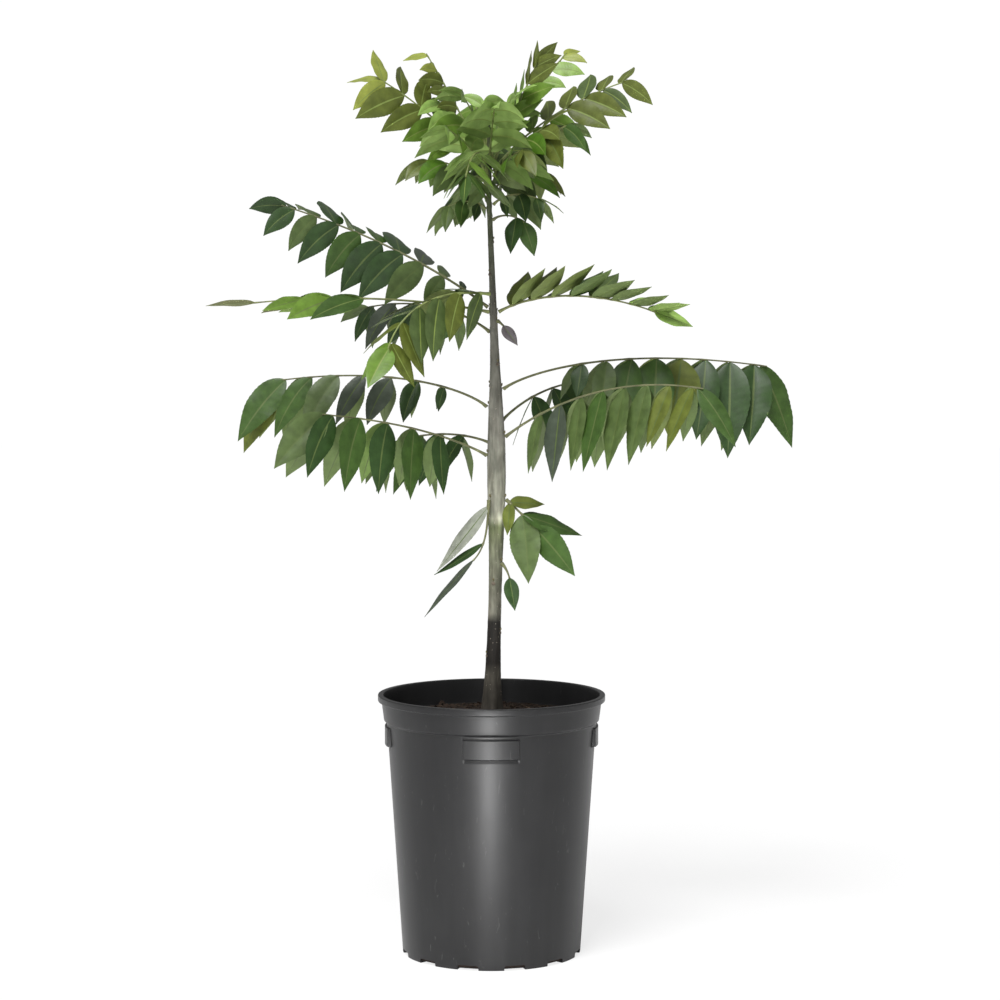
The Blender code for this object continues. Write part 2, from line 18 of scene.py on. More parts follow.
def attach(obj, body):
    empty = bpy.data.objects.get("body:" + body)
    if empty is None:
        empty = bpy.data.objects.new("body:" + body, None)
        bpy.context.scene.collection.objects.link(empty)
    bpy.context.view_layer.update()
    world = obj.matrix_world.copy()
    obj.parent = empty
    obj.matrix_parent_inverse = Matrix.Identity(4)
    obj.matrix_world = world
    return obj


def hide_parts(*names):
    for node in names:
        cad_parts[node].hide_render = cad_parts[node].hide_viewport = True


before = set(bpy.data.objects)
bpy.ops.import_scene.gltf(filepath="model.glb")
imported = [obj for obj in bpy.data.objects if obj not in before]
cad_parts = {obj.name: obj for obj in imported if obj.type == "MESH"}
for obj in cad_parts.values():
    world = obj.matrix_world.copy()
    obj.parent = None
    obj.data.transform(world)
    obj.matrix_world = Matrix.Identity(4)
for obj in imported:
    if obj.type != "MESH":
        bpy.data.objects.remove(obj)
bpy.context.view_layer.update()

BODY = "root"
GAP = 0.0003
DOWN = Vector((0, 0, -1))

# Nursery pot
POT_HEIGHT = 0.293
FOOT_RADIUS = 0.1005
WALL_TAPER = 0.0665
WALL = 0.0020
FLOOR = 0.0025
LIP_RADIUS = 0.1280
LIP_HEIGHT = 0.0075
COLLAR_RADIUS = 0.1212
COLLAR_TOP_RADIUS = COLLAR_RADIUS + 0.0028
COLLAR_Z = POT_HEIGHT - 0.031
COLLAR_STEP = 0.0018
INNER_STEP = 0.0035
PAD_COUNT = 4
PAD_HALF_ANGLE = math.radians(15)
PAD_RADIUS = 0.1203
PAD_TOP = 0.2585
PAD_BOTTOM = 0.2360
PAD_EDGE = 0.0012
PAD_EDGE_COLUMNS = (-0.6, -0.3, 0.0, 0.3, 0.6)
LEAST_TURN = 1e-4
SLOT_COUNT = 12
SLOT_WIDTH = 0.024
SLOT_HEIGHT = 0.0055
SLOT_DEPTH = 0.010
SLOT_BEVEL = 0.0025
CORNER_RADIUS = 0.0013
CORNER_STEPS = 5
POT_COLUMNS = 240
WALL_ROW = 0.006
PAD_ROW = 0.0009
PAD_HOLLOW = 0.0010
PAD_HOLLOW_HEIGHT = 0.0045

# Potting mix
MIX_SEAT_Z = 0.2700
MIX_EDGE_Z = 0.2656
MIX_CLEARANCE = 0.0005
MIX_RINGS = 70
MIX_SPOKES = 160
MIX_LUMP = 0.0016
MIX_LUMPS = ((1, 70, 0.3), (0.55, 260, 5.1))
COLLAR_OF_MIX = 0.0022
COLLAR_SPREAD = 0.022
CHIP_COUNT = 1100
CHIP_SEED = 401
CHIP_LENGTHS = (0.003, 0.013)
CHIP_CROWDING = 2.4
CHIP_WIDTHS = (0.35, 0.75)
CHIP_DEPTHS = (0.3, 0.6)
CHIP_FREE_MIDDLE = 0.018
CHIP_TILT = 0.28
CHIP_LIFT = 0.12
CHIP_MARGIN = 0.55
CHIP_SHARES = {"chip_dark": 6, "chip_brown": 5, "chip_pale": 1}
KNOB_SHIFTS = (0.72, 1.18)

# Trunk
TRUNK_BASE_Z = MIX_SEAT_Z + GAP
TRUNK_TIP_Z = 0.935
TRUNK_RADII = (0.0080, 0.0018)
FLARE_RADIUS = 0.0052
FLARE_HEIGHT = 0.036
SWELL_RADIUS = 0.0050
SWELL_Z = 0.552
SWELL_SPAN = 0.095
BOW_X = 0.0068
BOW_Y = 0.0040
BOW_SHARE = 0.86
LEAN_X = -0.0030

# Bark, with its pores, leaf scars and buds
BARK_STEP = 0.0011
BARK_SIDES = 64
RIDGE_DEPTH = 0.00030
RIDGE_FADE = 1.15
RIDGES = ((1, 4.2, 55), (0.6, 9, 170))
ROOT_LOBES = 5
LOBE_DEPTH = 0.0011
LOBE_HEIGHT = 0.016
CUSHION_HEIGHT = 0.0007
CUSHION_SPREAD = 0.0030
CUSHION_DROP = 0.001
PORE_COUNT = 300
PORE_SEED = 402
PORE_START = 0.02
PORE_END_Z = 0.84
PORE_CROWDING = 1.15
PORE_LENGTHS = (0.0007, 0.0019)
PORE_WIDTHS = (0.0005, 0.0008)
PORE_DEPTH = 0.0006
SCAR_HEIGHTS = (0.336, 0.362, 0.391, 0.418, 0.468, 0.640, 0.664, 0.745, 0.764, 0.800)
SCAR_HEADING = 200
SCAR_SIZE = (0.0048, 0.0050, 0.0016)
SCAR_SHARP = 0.7
SCAR_BUD_SIZE = (0.0036, 0.0022, 0.0020)
SCAR_BUD_RISE = 0.0042
SCAR_BUD_PROUD = 0.0004
SCAR_BUD_LEAN = 0.3
TIP_BUD_SIZE = (0.007, 0.0042, 0.0042)
TIP_BUD_RISE = 0.0015
BUD_LENGTH = 0.0046
BUD_SHAPE = (1, 0.55, 0.5)
BUD_RISE = 1.05
BUD_PROUD = 0.16
BUD_LEAN = 0.35
BUD_FULL_RADIUS = 0.006
BUD_SHARP = 0.8

# Compound leaves
STALK_THICKNESS = 0.0015
CROWN_THICKNESS = 0.0013
RACHIS_STEPS = 40
RACHIS_SIDES = 4
RACHIS_RINGS = 6
RING_CROWDING = 1.3
# The steps of the rachis that carry a ring, closer together at its swollen foot
RING_STEPS = [round(RACHIS_STEPS * (i / (RACHIS_RINGS - 1)) ** RING_CROWDING) for i in range(RACHIS_RINGS)]
RACHIS_TAPER = 0.45
PULVINUS_LENGTH = 0.006
PULVINUS_SWELL = 0.7
LONE_PAIR_PLACE = 0.7
END_AT = 0.975
STAGGER = 0.012
HOOK = 0.18
SHINGLE_TWIST = 18
FOOT_POWER = 0.70
TIP_POWER = 1.15
MIDRIB_STEPS = 20
BLADE_STATIONS = (0, 5, 13)
BLADE_THICKNESS = 0.0012
NECK_HALF_WIDTH = 0.0007

# How far a leaflet's seeded draws stray: its hang, splay and twist in degrees, and then its length, width,
# limpness and hook as shares of themselves
SPREADS = (7, 7, 8, 0.12, 0.14, 0.35, 0.6)

# Keeping leaves and leaflets clear of each other
TEST_GROWTH = 0.0005
TRIES = 9
LOOSENING = 0.6
NUDGE_COUNT = 9
NUDGE_TURN = 5
NUDGE_RISE = 0.0022

# Rosette of leaves at the top, from its lowest leaf to its highest, and from its ends to its middle
GOLDEN_ANGLE = 137.5
ROSETTE_COUNT = 16
ROSETTE_FIRST = 205
ROSETTE_SEED = 60
ROSETTE_CLIMB = {"height": (0.836, 0.906), "rise": (50, 80), "sag": (82, 16), "hang": (35, 20)}
ROSETTE_SWELL = {"length": (0.050, 0.080), "pairs": (3, 4), "leaflet": (0.048, 0.056)}

# Fine leaflets and stalks
STATIONS = 48
COLUMNS = (-1.0, -0.8, -0.52, -0.26, -0.055, 0.055, 0.26, 0.52, 0.8, 1.0)
LEAFLET_THICKNESS = 0.00040
MIDRIB_KEEL = 0.00045
MIDRIB_GROOVE = 0.00012
MIDRIB_REACH = 0.1
MIDRIB_TAPER = 0.7
TEETH = 17
TOOTH_DEPTH = 0.05
PLAIN_FOOT = 0.06
TOOTHED_SPAN = 0.9
VEINS = 12
VEIN_SLANT = 0.20
VEIN_RELIEF = 0.00016
FOLDS = (0.05, 0.28)
ARCH = 0.10
WAVES = (9, 17)
WAVE_HEIGHT = 0.05
LOPSIDE = 0.12
FINE_SEED = 9000
STALK_SIDES = 10
STALK_GROOVE = 0.18
GROOVE_POWER = 6
NODE_SWELL = 0.35
NODE_SPAN = 0.0016
MOST_TRIANGLES = 180000
MOST_LEAFLETS = 16
TINT_STRAY = 1.5

# Plain base colours of the leaflets, as linear red, green and blue
TINTS = {
    "deep": (0.023, 0.052, 0.012),
    "forest": (0.040, 0.082, 0.015),
    "moss": (0.068, 0.104, 0.030),
    "olive": (0.096, 0.120, 0.020),
    "vivid": (0.065, 0.145, 0.010),
    "bright": (0.115, 0.205, 0.027),
    "lime": (0.235, 0.370, 0.085),
    "yellow": (0.260, 0.300, 0.055),
    "grey": (0.230, 0.245, 0.200),
    "slate": (0.050, 0.064, 0.044),
    "brown": (0.085, 0.060, 0.035),
    "plum": (0.075, 0.062, 0.068),
}
PALE = (0.230, 0.300, 0.105)
PALENESS = 0.38
RIB = {"dark": (0.078, 0.112, 0.032), "mid": (0.110, 0.155, 0.040), "fresh": (0.190, 0.250, 0.060)}
STALK = {"dark": (0.120, 0.125, 0.058), "mid": (0.150, 0.165, 0.060), "fresh": (0.180, 0.220, 0.070)}

# The tints of the rosette's leaflets, by the height that its leaves stay under
ROSETTE_TINTS = (
    (0.852, "deep forest moss"),
    (0.872, "moss vivid olive"),
    (1.000, "lime bright lime lime"),
)

# Colours of the pot and the bark, as linear red, green and blue; the bark's by height
POT_DARK = (0.009, 0.009, 0.0095)
POT_LIGHT = (0.013, 0.013, 0.0135)
SCUFF = (0.026, 0.026, 0.025)
BARK_COLORS = (
    # Inside the pot the bark darkens towards the mix: painted shade of the pot's rim.
    (0.271, (0.035, 0.030, 0.024)),
    (0.300, (0.050, 0.045, 0.037)),
    (0.316, (0.075, 0.068, 0.056)),
    # A near-black band above the flare.
    (0.328, (0.010, 0.008, 0.006)),
    (0.374, (0.012, 0.010, 0.008)),
    (0.384, (0.180, 0.175, 0.145)),
    (0.455, (0.145, 0.155, 0.105)),
    (0.482, (0.145, 0.170, 0.085)),
    (0.491, (0.420, 0.430, 0.340)),
    (0.500, (0.230, 0.235, 0.190)),
    # From here up the bark darkens, partly its own tone and partly painted shade of the leaves above.
    (0.600, (0.165, 0.163, 0.143)),
    (0.650, (0.112, 0.111, 0.096)),
    (0.735, (0.098, 0.098, 0.084)),
    (0.860, (0.062, 0.078, 0.036)),
)
# Dark and light colours of the mix, of its chips and of what stands on the bark
GRAINS = {
    "mix": ((0.006, 0.004, 0.003), (0.030, 0.019, 0.013)),
    "chip_dark": ((0.010, 0.006, 0.004), (0.035, 0.020, 0.012)),
    "chip_brown": ((0.016, 0.010, 0.007), (0.052, 0.033, 0.021)),
    "chip_pale": ((0.036, 0.025, 0.017), (0.105, 0.072, 0.047)),
    "pore": ((0.160, 0.140, 0.110), (0.340, 0.310, 0.250)),
    "scar": ((0.050, 0.040, 0.030), (0.150, 0.125, 0.095)),
    "bud": ((0.060, 0.050, 0.025), (0.160, 0.140, 0.070)),
}
LEAF_GLOSS = 0.3

# Camera and light
PHOTO_SIZE = 1000
CAMERA_PLACE = (0.0095, -3.0, 0.716)
CAMERA_PITCH = 3.9
CAMERA_FOCAL_PX = 2681
FLOOR_SIZE = 24
SURROUND_SEEN = 1.02
SURROUND_FILL = 0.34
FLOOR_GLOW = 0.76
KEY_STRENGTH = 3.3
KEY_SOFTNESS = 24
KEY_FROM = (-0.40, -0.85, 1.5)
LIGHTS = (
    ("strip", (-0.12, -3.2, 1.1), (0, 0, 0.3), 0.22, 1.6, 10),
    ("pot_strip", (-0.03, -0.66, 0.10), (-0.005, -0.12, 0.13), 0.05, 0.20, 3.0),
)


class Leaf(NamedTuple):
    """One compound leaf: where its petiole leaves the trunk, and how its rachis and leaflets run.

    Angles are in degrees. Heading 0 is to the right, 90 away from the viewer and 180 to the left. The tints
    of the leaflets run from the leaf's foot to its tip.
    """

    name: str
    height: float
    heading: float
    rise: float
    sag: float
    length: float
    pairs: int
    leaflet: float
    hang: float
    seed: int
    bend: float = 0.7
    turn: float = 0.0
    bare: float = 0.24
    last: float = 0.95
    slimness: float = 0.44
    splay: tuple = (20, 38)
    limp: float = 0.7
    fullest: float = 0.5
    least: float = 0.75
    roll: float = 0.0
    sides: tuple = (1, -1)
    end: tuple = (15, 30)
    green: str = "dark"
    tints: str = ""

    @property
    def thickness(self):
        return CROWN_THICKNESS if self.name.startswith("crown_") else STALK_THICKNESS


# The leaves low on the stem, the four large ones at the graft with two behind them, those of the
# middle of the stem, and the longest ones of the crown.
LEAVES = (
    Leaf("low_left_leaf", 0.512, 228, -86, -46, 0.073, 2, 0.096, -8, 11, bend=2.5, turn=-28, bare=0.1,
         last=0.68, slimness=0.20, splay=(54, 48), fullest=0.0, least=0.8, limp=0.1, roll=-25, sides=(1,),
         end=(0, 10), tints="grey deep slate"),
    Leaf("low_right_leaf", 0.512, 338, -38, 6, 0.046, 2, 0.074, 5, 12, bare=0.12, last=0.55, slimness=0.5,
         splay=(40, 50), limp=0.2, fullest=1.0, least=0.55, roll=62, end=(0, 10), tints="olive moss forest"),
    Leaf("low_small_leaf", 0.440, 318, -30, 40, 0.020, 0, 0.046, 0, 13, slimness=0.5, limp=0.3, end=(10, 40),
         tints="deep"),
    Leaf("left_hanging_leaf", 0.562, 202, 32, 27, 0.200, 5, 0.084, 66, 14, bend=0.5, bare=0.31,
         slimness=0.40, splay=(-6, 32), limp=0.6, fullest=0.7, sides=(-1, 1), end=(35, -60),
         tints="deep forest deep vivid forest deep moss"),
    Leaf("left_arching_leaf", 0.616, 164, 53, 61, 0.262, 7, 0.088, 60, 15, bend=0.3, bare=0.22,
         slimness=0.38, splay=(10, 50), limp=0.6, fullest=1.0, least=0.35, sides=(-1, 1), end=(45, -75),
         tints="deep moss slate moss deep forest olive"),
    Leaf("right_hanging_leaf", 0.583, 337, 36, 45, 0.245, 8, 0.092, 66, 16, bend=1.0, bare=0.20,
         slimness=0.33, splay=(-30, -10), end=(40, 60),
         tints="moss slate moss forest moss deep olive forest"),
    Leaf("right_arching_leaf", 0.636, 18, 45, 53, 0.326, 8, 0.108, 66, 17, bend=0.3, bare=0.30,
         slimness=0.46, splay=(-25, -5), fullest=1.0, least=0.40, end=(55, 80),
         tints="deep moss forest olive deep moss deep forest"),
    Leaf("back_left_leaf", 0.575, 128, 14, 30, 0.220, 5, 0.076, 60, 18, slimness=0.42, sides=(-1, 1),
         tints="deep forest moss"),
    Leaf("back_right_leaf", 0.600, 52, 34, 46, 0.270, 6, 0.086, 60, 19, slimness=0.42, splay=(-10, 20),
         tints="deep forest moss"),
    Leaf("middle_left_leaf", 0.722, 189, 12, 18, 0.268, 3, 0.074, 20, 20, bend=0.8, bare=0.54, last=0.78,
         slimness=0.40, splay=(60, 60), limp=0.1, fullest=0.3, sides=(-1, 1), end=(0, 20), green="mid",
         tints="forest bright bright brown"),
    Leaf("upper_left_leaf", 0.725, 168, 39, 22, 0.262, 9, 0.072, 22, 21, bare=0.14, slimness=0.46,
         splay=(15, 38), limp=0.5, roll=-45, fullest=0.55, least=0.40, sides=(-1, 1), end=(0, -75),
         tints="deep moss slate deep forest deep moss deep"),
    Leaf("middle_front_leaf", 0.742, 212, 4, 78, 0.158, 6, 0.072, 32, 22, bend=1.6, bare=0.08,
         splay=(38, 40), limp=0.4, roll=-35, sides=(-1, 1), end=(0, -30), green="fresh",
         tints="moss olive moss olive bright"),
    Leaf("middle_small_leaf", 0.712, 322, -25, 15, 0.010, 0, 0.044, 0, 23, slimness=0.45, limp=0.1,
         end=(0, 40), tints="plum"),
    Leaf("middle_right_leaf", 0.722, 2, 34, 55, 0.184, 8, 0.062, -44, 24, bend=0.6, bare=0.10, slimness=0.46,
         splay=(46, 56), limp=0.0, fullest=0.4, end=(0, 50), green="mid", tints="olive forest moss lime"),
    Leaf("middle_back_leaf", 0.700, 146, 36, 46, 0.178, 5, 0.068, 50, 25, slimness=0.42, sides=(-1, 1),
         tints="forest deep slate deep"),
    Leaf("crown_left_leaf", 0.868, 186, 62, 32, 0.165, 5, 0.060, 10, 31, bare=0.34,
         splay=(20, 35), limp=0.3, roll=-60, sides=(-1, 1), end=(30, 30), green="fresh",
         tints="bright olive yellow"),
    Leaf("crown_top_left_leaf", 0.885, 164, 66, 8, 0.142, 5, 0.038, 20, 32, bare=0.40, last=0.85,
         slimness=0.46, splay=(30, 40), sides=(-1, 1), end=(50, -40), green="fresh", tints="olive yellow"),
    Leaf("crown_top_right_leaf", 0.888, 345, 66, 2, 0.120, 5, 0.044, 15, 33, bare=0.30,
         splay=(55, 60), limp=0.1, roll=60, end=(0, 40), green="fresh", tints="bright olive"),
    Leaf("crown_right_leaf", 0.878, 6, 56, 38, 0.187, 6, 0.052, 14, 41, bare=0.34, slimness=0.46,
         splay=(34, 45), limp=0.3, roll=50, end=(60, 0), green="fresh", tints="bright olive moss olive"),
    Leaf("crown_right_near_leaf", 0.864, 338, 55, 34, 0.110, 4, 0.058, 35, 35, bare=0.28,
         splay=(20, 40), roll=20, end=(60, 30), green="mid", tints="moss olive forest"),
    Leaf("crown_right_far_leaf", 0.880, 36, 64, 24, 0.175, 3, 0.036, 20, 36, bare=0.70, slimness=0.45,
         splay=(30, 40), green="fresh", tints="lime yellow"),
    Leaf("crown_near_leaf", 0.870, 258, 64, 112, 0.130, 5, 0.050, 25, 37, bare=0.28,
         splay=(25, 40), green="fresh", tints="lime lime bright forest"),
    Leaf("crown_far_leaf", 0.874, 98, 60, 38, 0.140, 5, 0.052, 30, 38, bare=0.28,
         splay=(25, 40), green="fresh", tints="lime bright"),
    Leaf("crown_low_leaf", 0.824, 322, 36, 70, 0.046, 1, 0.050, 50, 39, slimness=0.48, splay=(20, 40),
         end=(30, 40), tints="deep forest"),
)


def mixed(low, high, share):
    return low + (high - low) * share


def rosette_leaves():
    """The crown's close leaves climb the stem in a spiral, from drooping ones to upright ones at its top."""
    for i in range(ROSETTE_COUNT):
        share = i / (ROSETTE_COUNT - 1)
        own = {field: mixed(*ends, share) for field, ends in ROSETTE_CLIMB.items()}
        own |= {field: mixed(*ends, math.sin(math.pi * share)) for field, ends in ROSETTE_SWELL.items()}
        own["pairs"] = round(own["pairs"])
        heading = (ROSETTE_FIRST + i * GOLDEN_ANGLE) % 360
        green = "mid" if share < 0.5 else "fresh"
        yield Leaf(f"crown_leaf_{i + 1:02d}", heading=heading, seed=ROSETTE_SEED + i, bare=0.2,
                   slimness=0.42, splay=(20, 45), green=green, **own)


class Blade(NamedTuple):
    """One leaflet: its root, the way it starts, its upper side, its size and how it bends."""

    root: Vector
    along: Vector
    up: Vector
    length: float
    width: float
    limp: float
    hook: float


def trunk_share(z):
    return (z - TRUNK_BASE_Z) / (TRUNK_TIP_Z - TRUNK_BASE_Z)


def trunk_radius(z):
    taper = mixed(*TRUNK_RADII, trunk_share(z))
    flare = FLARE_RADIUS * math.exp(-(z - TRUNK_BASE_Z) / FLARE_HEIGHT)
    swell = SWELL_RADIUS * math.exp(-(((z - SWELL_Z) / SWELL_SPAN) ** 2))
    return taper + flare + swell


def trunk_axis(z):
    share = trunk_share(z)
    bow = math.sin(math.pi * min(share / BOW_SHARE, 1.0))
    return Vector((BOW_X * bow + LEAN_X * share, BOW_Y * math.sin(math.tau * share), z))


def even_turns(count):
    return [i * math.tau / count for i in range(count)]


def around(radius, turn, z=0.0):
    """A point at a radius and a turn about the plant's axis, in plain numbers."""
    return radius * math.cos(turn), radius * math.sin(turn), z


def ring(center, across, over, radius, sides, groove=0.0):
    """Points round a center, with or without a groove on the side of across."""
    points = []
    for turn in even_turns(sides):
        out = radius * (1 - groove * max(0.0, math.cos(turn)) ** GROOVE_POWER)
        points.append(center + out * (math.cos(turn) * across + math.sin(turn) * over))
    return points


def layered(layers, x, y, z):
    """A sum of noises, from the share of each and its scales across and up."""
    return sum(share * noise.noise(Vector((x * wide, y * wide, z * high))) for share, wide, high in layers)


def grid_faces(rows, columns, closed=True):
    """Quads of a grid of points, row by row, whose rows close on themselves or not."""
    faces = []
    for low in range(0, (rows - 1) * columns, columns):
        for i in range(columns if closed else columns - 1):
            j = (i + 1) % columns
            faces.append((low + i, low + j, low + columns + j, low + columns + i))
    return faces


def tube_faces(rings, sides):
    """The faces of a closed tube through rings of equal count, with flat ends."""
    last = (rings - 1) * sides
    ends = [tuple(reversed(range(sides))), tuple(range(last, last + sides))]
    return grid_faces(rings, sides) + ends


def rachis_frame(leaf, share):
    """Directions along, beside and above a leaf's rachis at a share of its length."""
    outward = Vector(around(1, math.radians(leaf.heading + leaf.turn * share)))
    side = Vector((outward.y, -outward.x, 0))
    slope = math.radians(leaf.rise - leaf.sag * share ** leaf.bend)
    along = outward * math.cos(slope) + Vector((0, 0, math.sin(slope)))
    side.rotate(Quaternion(along, math.radians(leaf.roll * min(share / leaf.bare, 1.0))))
    return along, side, side.cross(along)


def walk(point, length, steps, frame_at):
    """(point, along, side, normal) at equal steps of a curve, from its frame at each share of it."""
    found = []
    for i in range(steps + 1):
        found.append((point.copy(), *frame_at(i / steps)))
        point += frame_at((i + 0.5) / steps)[0] * length / steps
    return found


def rachis_points(leaf):
    """The frames down a leaf's petiole and rachis."""
    outward = Vector(around(1, math.radians(leaf.heading)))
    foot = leaf.thickness * (1 + PULVINUS_SWELL) * abs(math.sin(math.radians(leaf.rise)))
    start = trunk_axis(leaf.height) + outward * (trunk_radius(leaf.height) + GAP + foot)
    return walk(start, leaf.length, RACHIS_STEPS, lambda share: rachis_frame(leaf, share))


def rachis_radius(leaf, share):
    taper = leaf.thickness * (1 - RACHIS_TAPER * share)
    return taper * (1 + PULVINUS_SWELL * math.exp(-share * leaf.length / PULVINUS_LENGTH))


def middle_at(frames, step):
    """The middle of the rachis at a step, on the straight line between its two nearest rings."""
    low = max(pick for pick in RING_STEPS if pick <= step)
    high = min(pick for pick in RING_STEPS if pick >= step)
    return frames[low][0].lerp(frames[high][0], (step - low) / max(high - low, 1))


def rachis_shape(leaf, grow=0.0):
    """The petiole and rachis as a tube."""
    frames = rachis_points(leaf)
    points = []
    for step in RING_STEPS:
        middle, _, side, normal = frames[step]
        radius = rachis_radius(leaf, step / RACHIS_STEPS) + grow
        points += ring(middle, normal, side, radius, RACHIS_SIDES)
    return points, tube_faces(RACHIS_RINGS, RACHIS_SIDES)


def spread_apart(leaves):
    """Moves a leaf along and round the trunk, by as little as it takes, off the rachises before it."""
    settled, trees = [], []
    for leaf in leaves:
        for nudge in [0] + [sign * i for i in range(1, NUDGE_COUNT) for sign in (1, -1)]:
            heading = leaf.heading + nudge * NUDGE_TURN
            moved = leaf._replace(height=leaf.height + nudge * NUDGE_RISE, heading=heading)
            grown = BVHTree.FromPolygons(*rachis_shape(moved, TEST_GROWTH))
            if not any(grown.overlap(tree) for tree in trees):
                break
        settled.append(moved)
        trees.append(BVHTree.FromPolygons(*rachis_shape(moved)))
    return settled, trees


def outline(share):
    """A leaflet's width at a share of its length, as a share of the widest: a full foot, a long tip."""
    peak = FOOT_POWER / (FOOT_POWER + TIP_POWER)
    return (share / peak) ** FOOT_POWER * ((1 - share) / (1 - peak)) ** TIP_POWER


def midrib(blade, steps):
    """The frames down a leaflet's midrib, which hooks and sags."""
    pull = DOWN * blade.limp + blade.along.cross(blade.up) * blade.hook

    def frame_at(share):
        along = (blade.along + pull * share).normalized()
        across = along.cross(blade.up).normalized()
        return along, across, across.cross(along)

    return walk(blade.root.copy(), blade.length, steps, frame_at)


def blade_shape(blade, grow=0.0):
    """A leaflet as a closed blade: flat above, with thin margins and a keel for its midrib below."""
    frames = midrib(blade, MIDRIB_STEPS)
    thick = BLADE_THICKNESS / 2 + grow
    points = []
    for station in BLADE_STATIONS:
        middle, _, across, normal = frames[station]
        half = max(blade.width / 2 * outline(station / MIDRIB_STEPS), NECK_HALF_WIDTH) + grow
        points += [middle + across * beside + normal * thick for beside in (-half, half)]
        points.append(middle - normal * thick)
    tip = len(points)
    faces = [*grid_faces(len(BLADE_STATIONS), 3), (2, 1, 0)]
    faces += [(tip - 3 + i, tip - 3 + (i + 1) % 3, tip) for i in range(3)]
    return [*points, frames[-1][0]], faces


def leaflet_size(leaf, place):
    """Leaflets are largest at one place on the rachis, and shorter to either side of it."""
    away = (place - leaf.fullest) / max(leaf.fullest, 1 - leaf.fullest)
    return leaf.leaflet * (1 - (1 - leaf.least) * away * away)


def leaflet_blade(leaf, frames, side_sign, place, share, source, loose):
    """A leaflet with its seeded turns, wider when loose is over 1. side_sign is 0 for the end one."""
    draws = [source.uniform(-most, most) for most in SPREADS]
    end_hang, end_twist = leaf.end
    hang = math.radians((leaf.hang if side_sign else end_hang) + draws[0] * loose)
    splay = math.radians(mixed(*leaf.splay, place) + draws[1] * loose)
    twist = math.radians((side_sign * SHINGLE_TWIST or end_twist) + draws[2] * loose)
    step = RACHIS_STEPS * share
    _, along, side, normal = frames[round(step)]
    if side_sign:
        out = side * side_sign * math.cos(hang) - normal * math.sin(hang)
        start = out * math.cos(splay) + along * math.sin(splay)
        up = side_sign * out.cross(along)
    else:
        start = along * math.cos(hang) - normal * math.sin(hang)
        up = normal
    start.normalize()
    up = (up - start * up.dot(start)).normalized()
    up = up * math.cos(twist) + start.cross(up) * math.sin(twist)
    length = leaflet_size(leaf, place) * (1 + draws[3])
    width = length * leaf.slimness * (1 + draws[4])
    limp = leaf.limp * (1 + draws[5])
    hook = side_sign * HOOK * (1 + draws[6])
    return Blade(middle_at(frames, step), start, up, length, width, limp, hook)


def search_trees(points, faces):
    """The search trees of a leaflet: of all of it, and of what lies beyond its narrow neck."""
    outer = [face for face in faces if min(face) >= 3]
    return BVHTree.FromPolygons(points, faces), BVHTree.FromPolygons(points, outer)


def is_clear(trees, obstacles, leaf_name):
    """Whether a leaflet touches nothing, apart from its neck where it joins its own leaf."""
    whole, outer = trees
    for owner, other, outer_other in obstacles:
        if outer.overlap(outer_other) if owner == leaf_name else whole.overlap(other):
            return False
    return True


def leaflet_places(leaf):
    """(side, place, share) of each leaflet from the first to the end one; pairs are slightly staggered."""
    for i in range(leaf.pairs):
        place = i / (leaf.pairs - 1) if leaf.pairs > 1 else LONE_PAIR_PLACE
        share = mixed(leaf.bare, leaf.last, place)
        for side_sign in leaf.sides:
            yield side_sign, place, share - STAGGER * (side_sign < 0)
    yield 0, 1.0, END_AT


def grow_leaflets(leaf, obstacles):
    """Places the leaflets one by one. Each tries wider turns until it is clear, and else is left out."""
    source = random.Random(leaf.seed)
    frames = rachis_points(leaf)
    blades = []
    for side_sign, place, share in leaflet_places(leaf):
        for attempt in range(TRIES):
            loose = 1 + LOOSENING * attempt
            blade = leaflet_blade(leaf, frames, side_sign, place, share, source, loose)
            if is_clear(search_trees(*blade_shape(blade, TEST_GROWTH)), obstacles, leaf.name):
                blades.append(blade)
                obstacles.append((leaf.name, *search_trees(*blade_shape(blade))))
                break
    return blades


# Finishes


def scaled(values, factor):
    return tuple(value * factor for value in values)


def add_node(tree, kind, result, **inputs):
    """The result of a new node, whose inputs are constants or the results of other nodes."""
    node = tree.nodes.new("ShaderNode" + kind)
    for name, value in inputs.items():
        socket = node.inputs[name.replace("_", " ")]
        if isinstance(value, bpy.types.NodeSocket):
            tree.links.new(value, socket)
        else:
            socket.default_value = value
    return node.outputs[result]


def noise_of(tree, scale, detail=5.0, stretch=(1, 1, 1), distortion=0.0):
    """The value of a noise in the plant's own space, drawn out along an axis whose stretch is under 1."""
    place = add_node(tree, "TexCoord", "Object")
    place = add_node(tree, "Mapping", "Vector", Vector=place, Scale=stretch)
    return add_node(tree, "TexNoise", "Fac", Vector=place, Scale=scale, Detail=detail, Distortion=distortion)


def ramp_of(tree, value, stops):
    """A colour ramp over a value, from (position, colour) stops."""
    color = add_node(tree, "ValToRGB", "Color", Fac=value)
    band = color.node.color_ramp
    for _ in stops[2:]:
        band.elements.new(0.5)
    for element, (position, rgb) in zip(band.elements, stops):
        element.position = position
        element.color = (*rgb, 1.0)
    return color


def blend_of(tree, mode, first, second):
    """Two colours multiplied or added."""
    mix = tree.nodes.new("ShaderNodeMix")
    mix.data_type = "RGBA"
    mix.blend_type = mode
    mix.inputs["Factor"].default_value = 1.0
    tree.links.new(first, mix.inputs["A"])
    tree.links.new(second, mix.inputs["B"])
    return mix.outputs["Result"]


FINISHES = {}


def new_material(name, roughness, specular):
    """The node tree and the shader of a new Principled material with constants on its sockets."""
    made = FINISHES[name] = bpy.data.materials.new(name)
    made.use_nodes = True
    shader = made.node_tree.nodes["Principled BSDF"]
    shader.inputs["Roughness"].default_value = roughness
    shader.inputs["Specular IOR Level"].default_value = specular
    return made.node_tree, shader


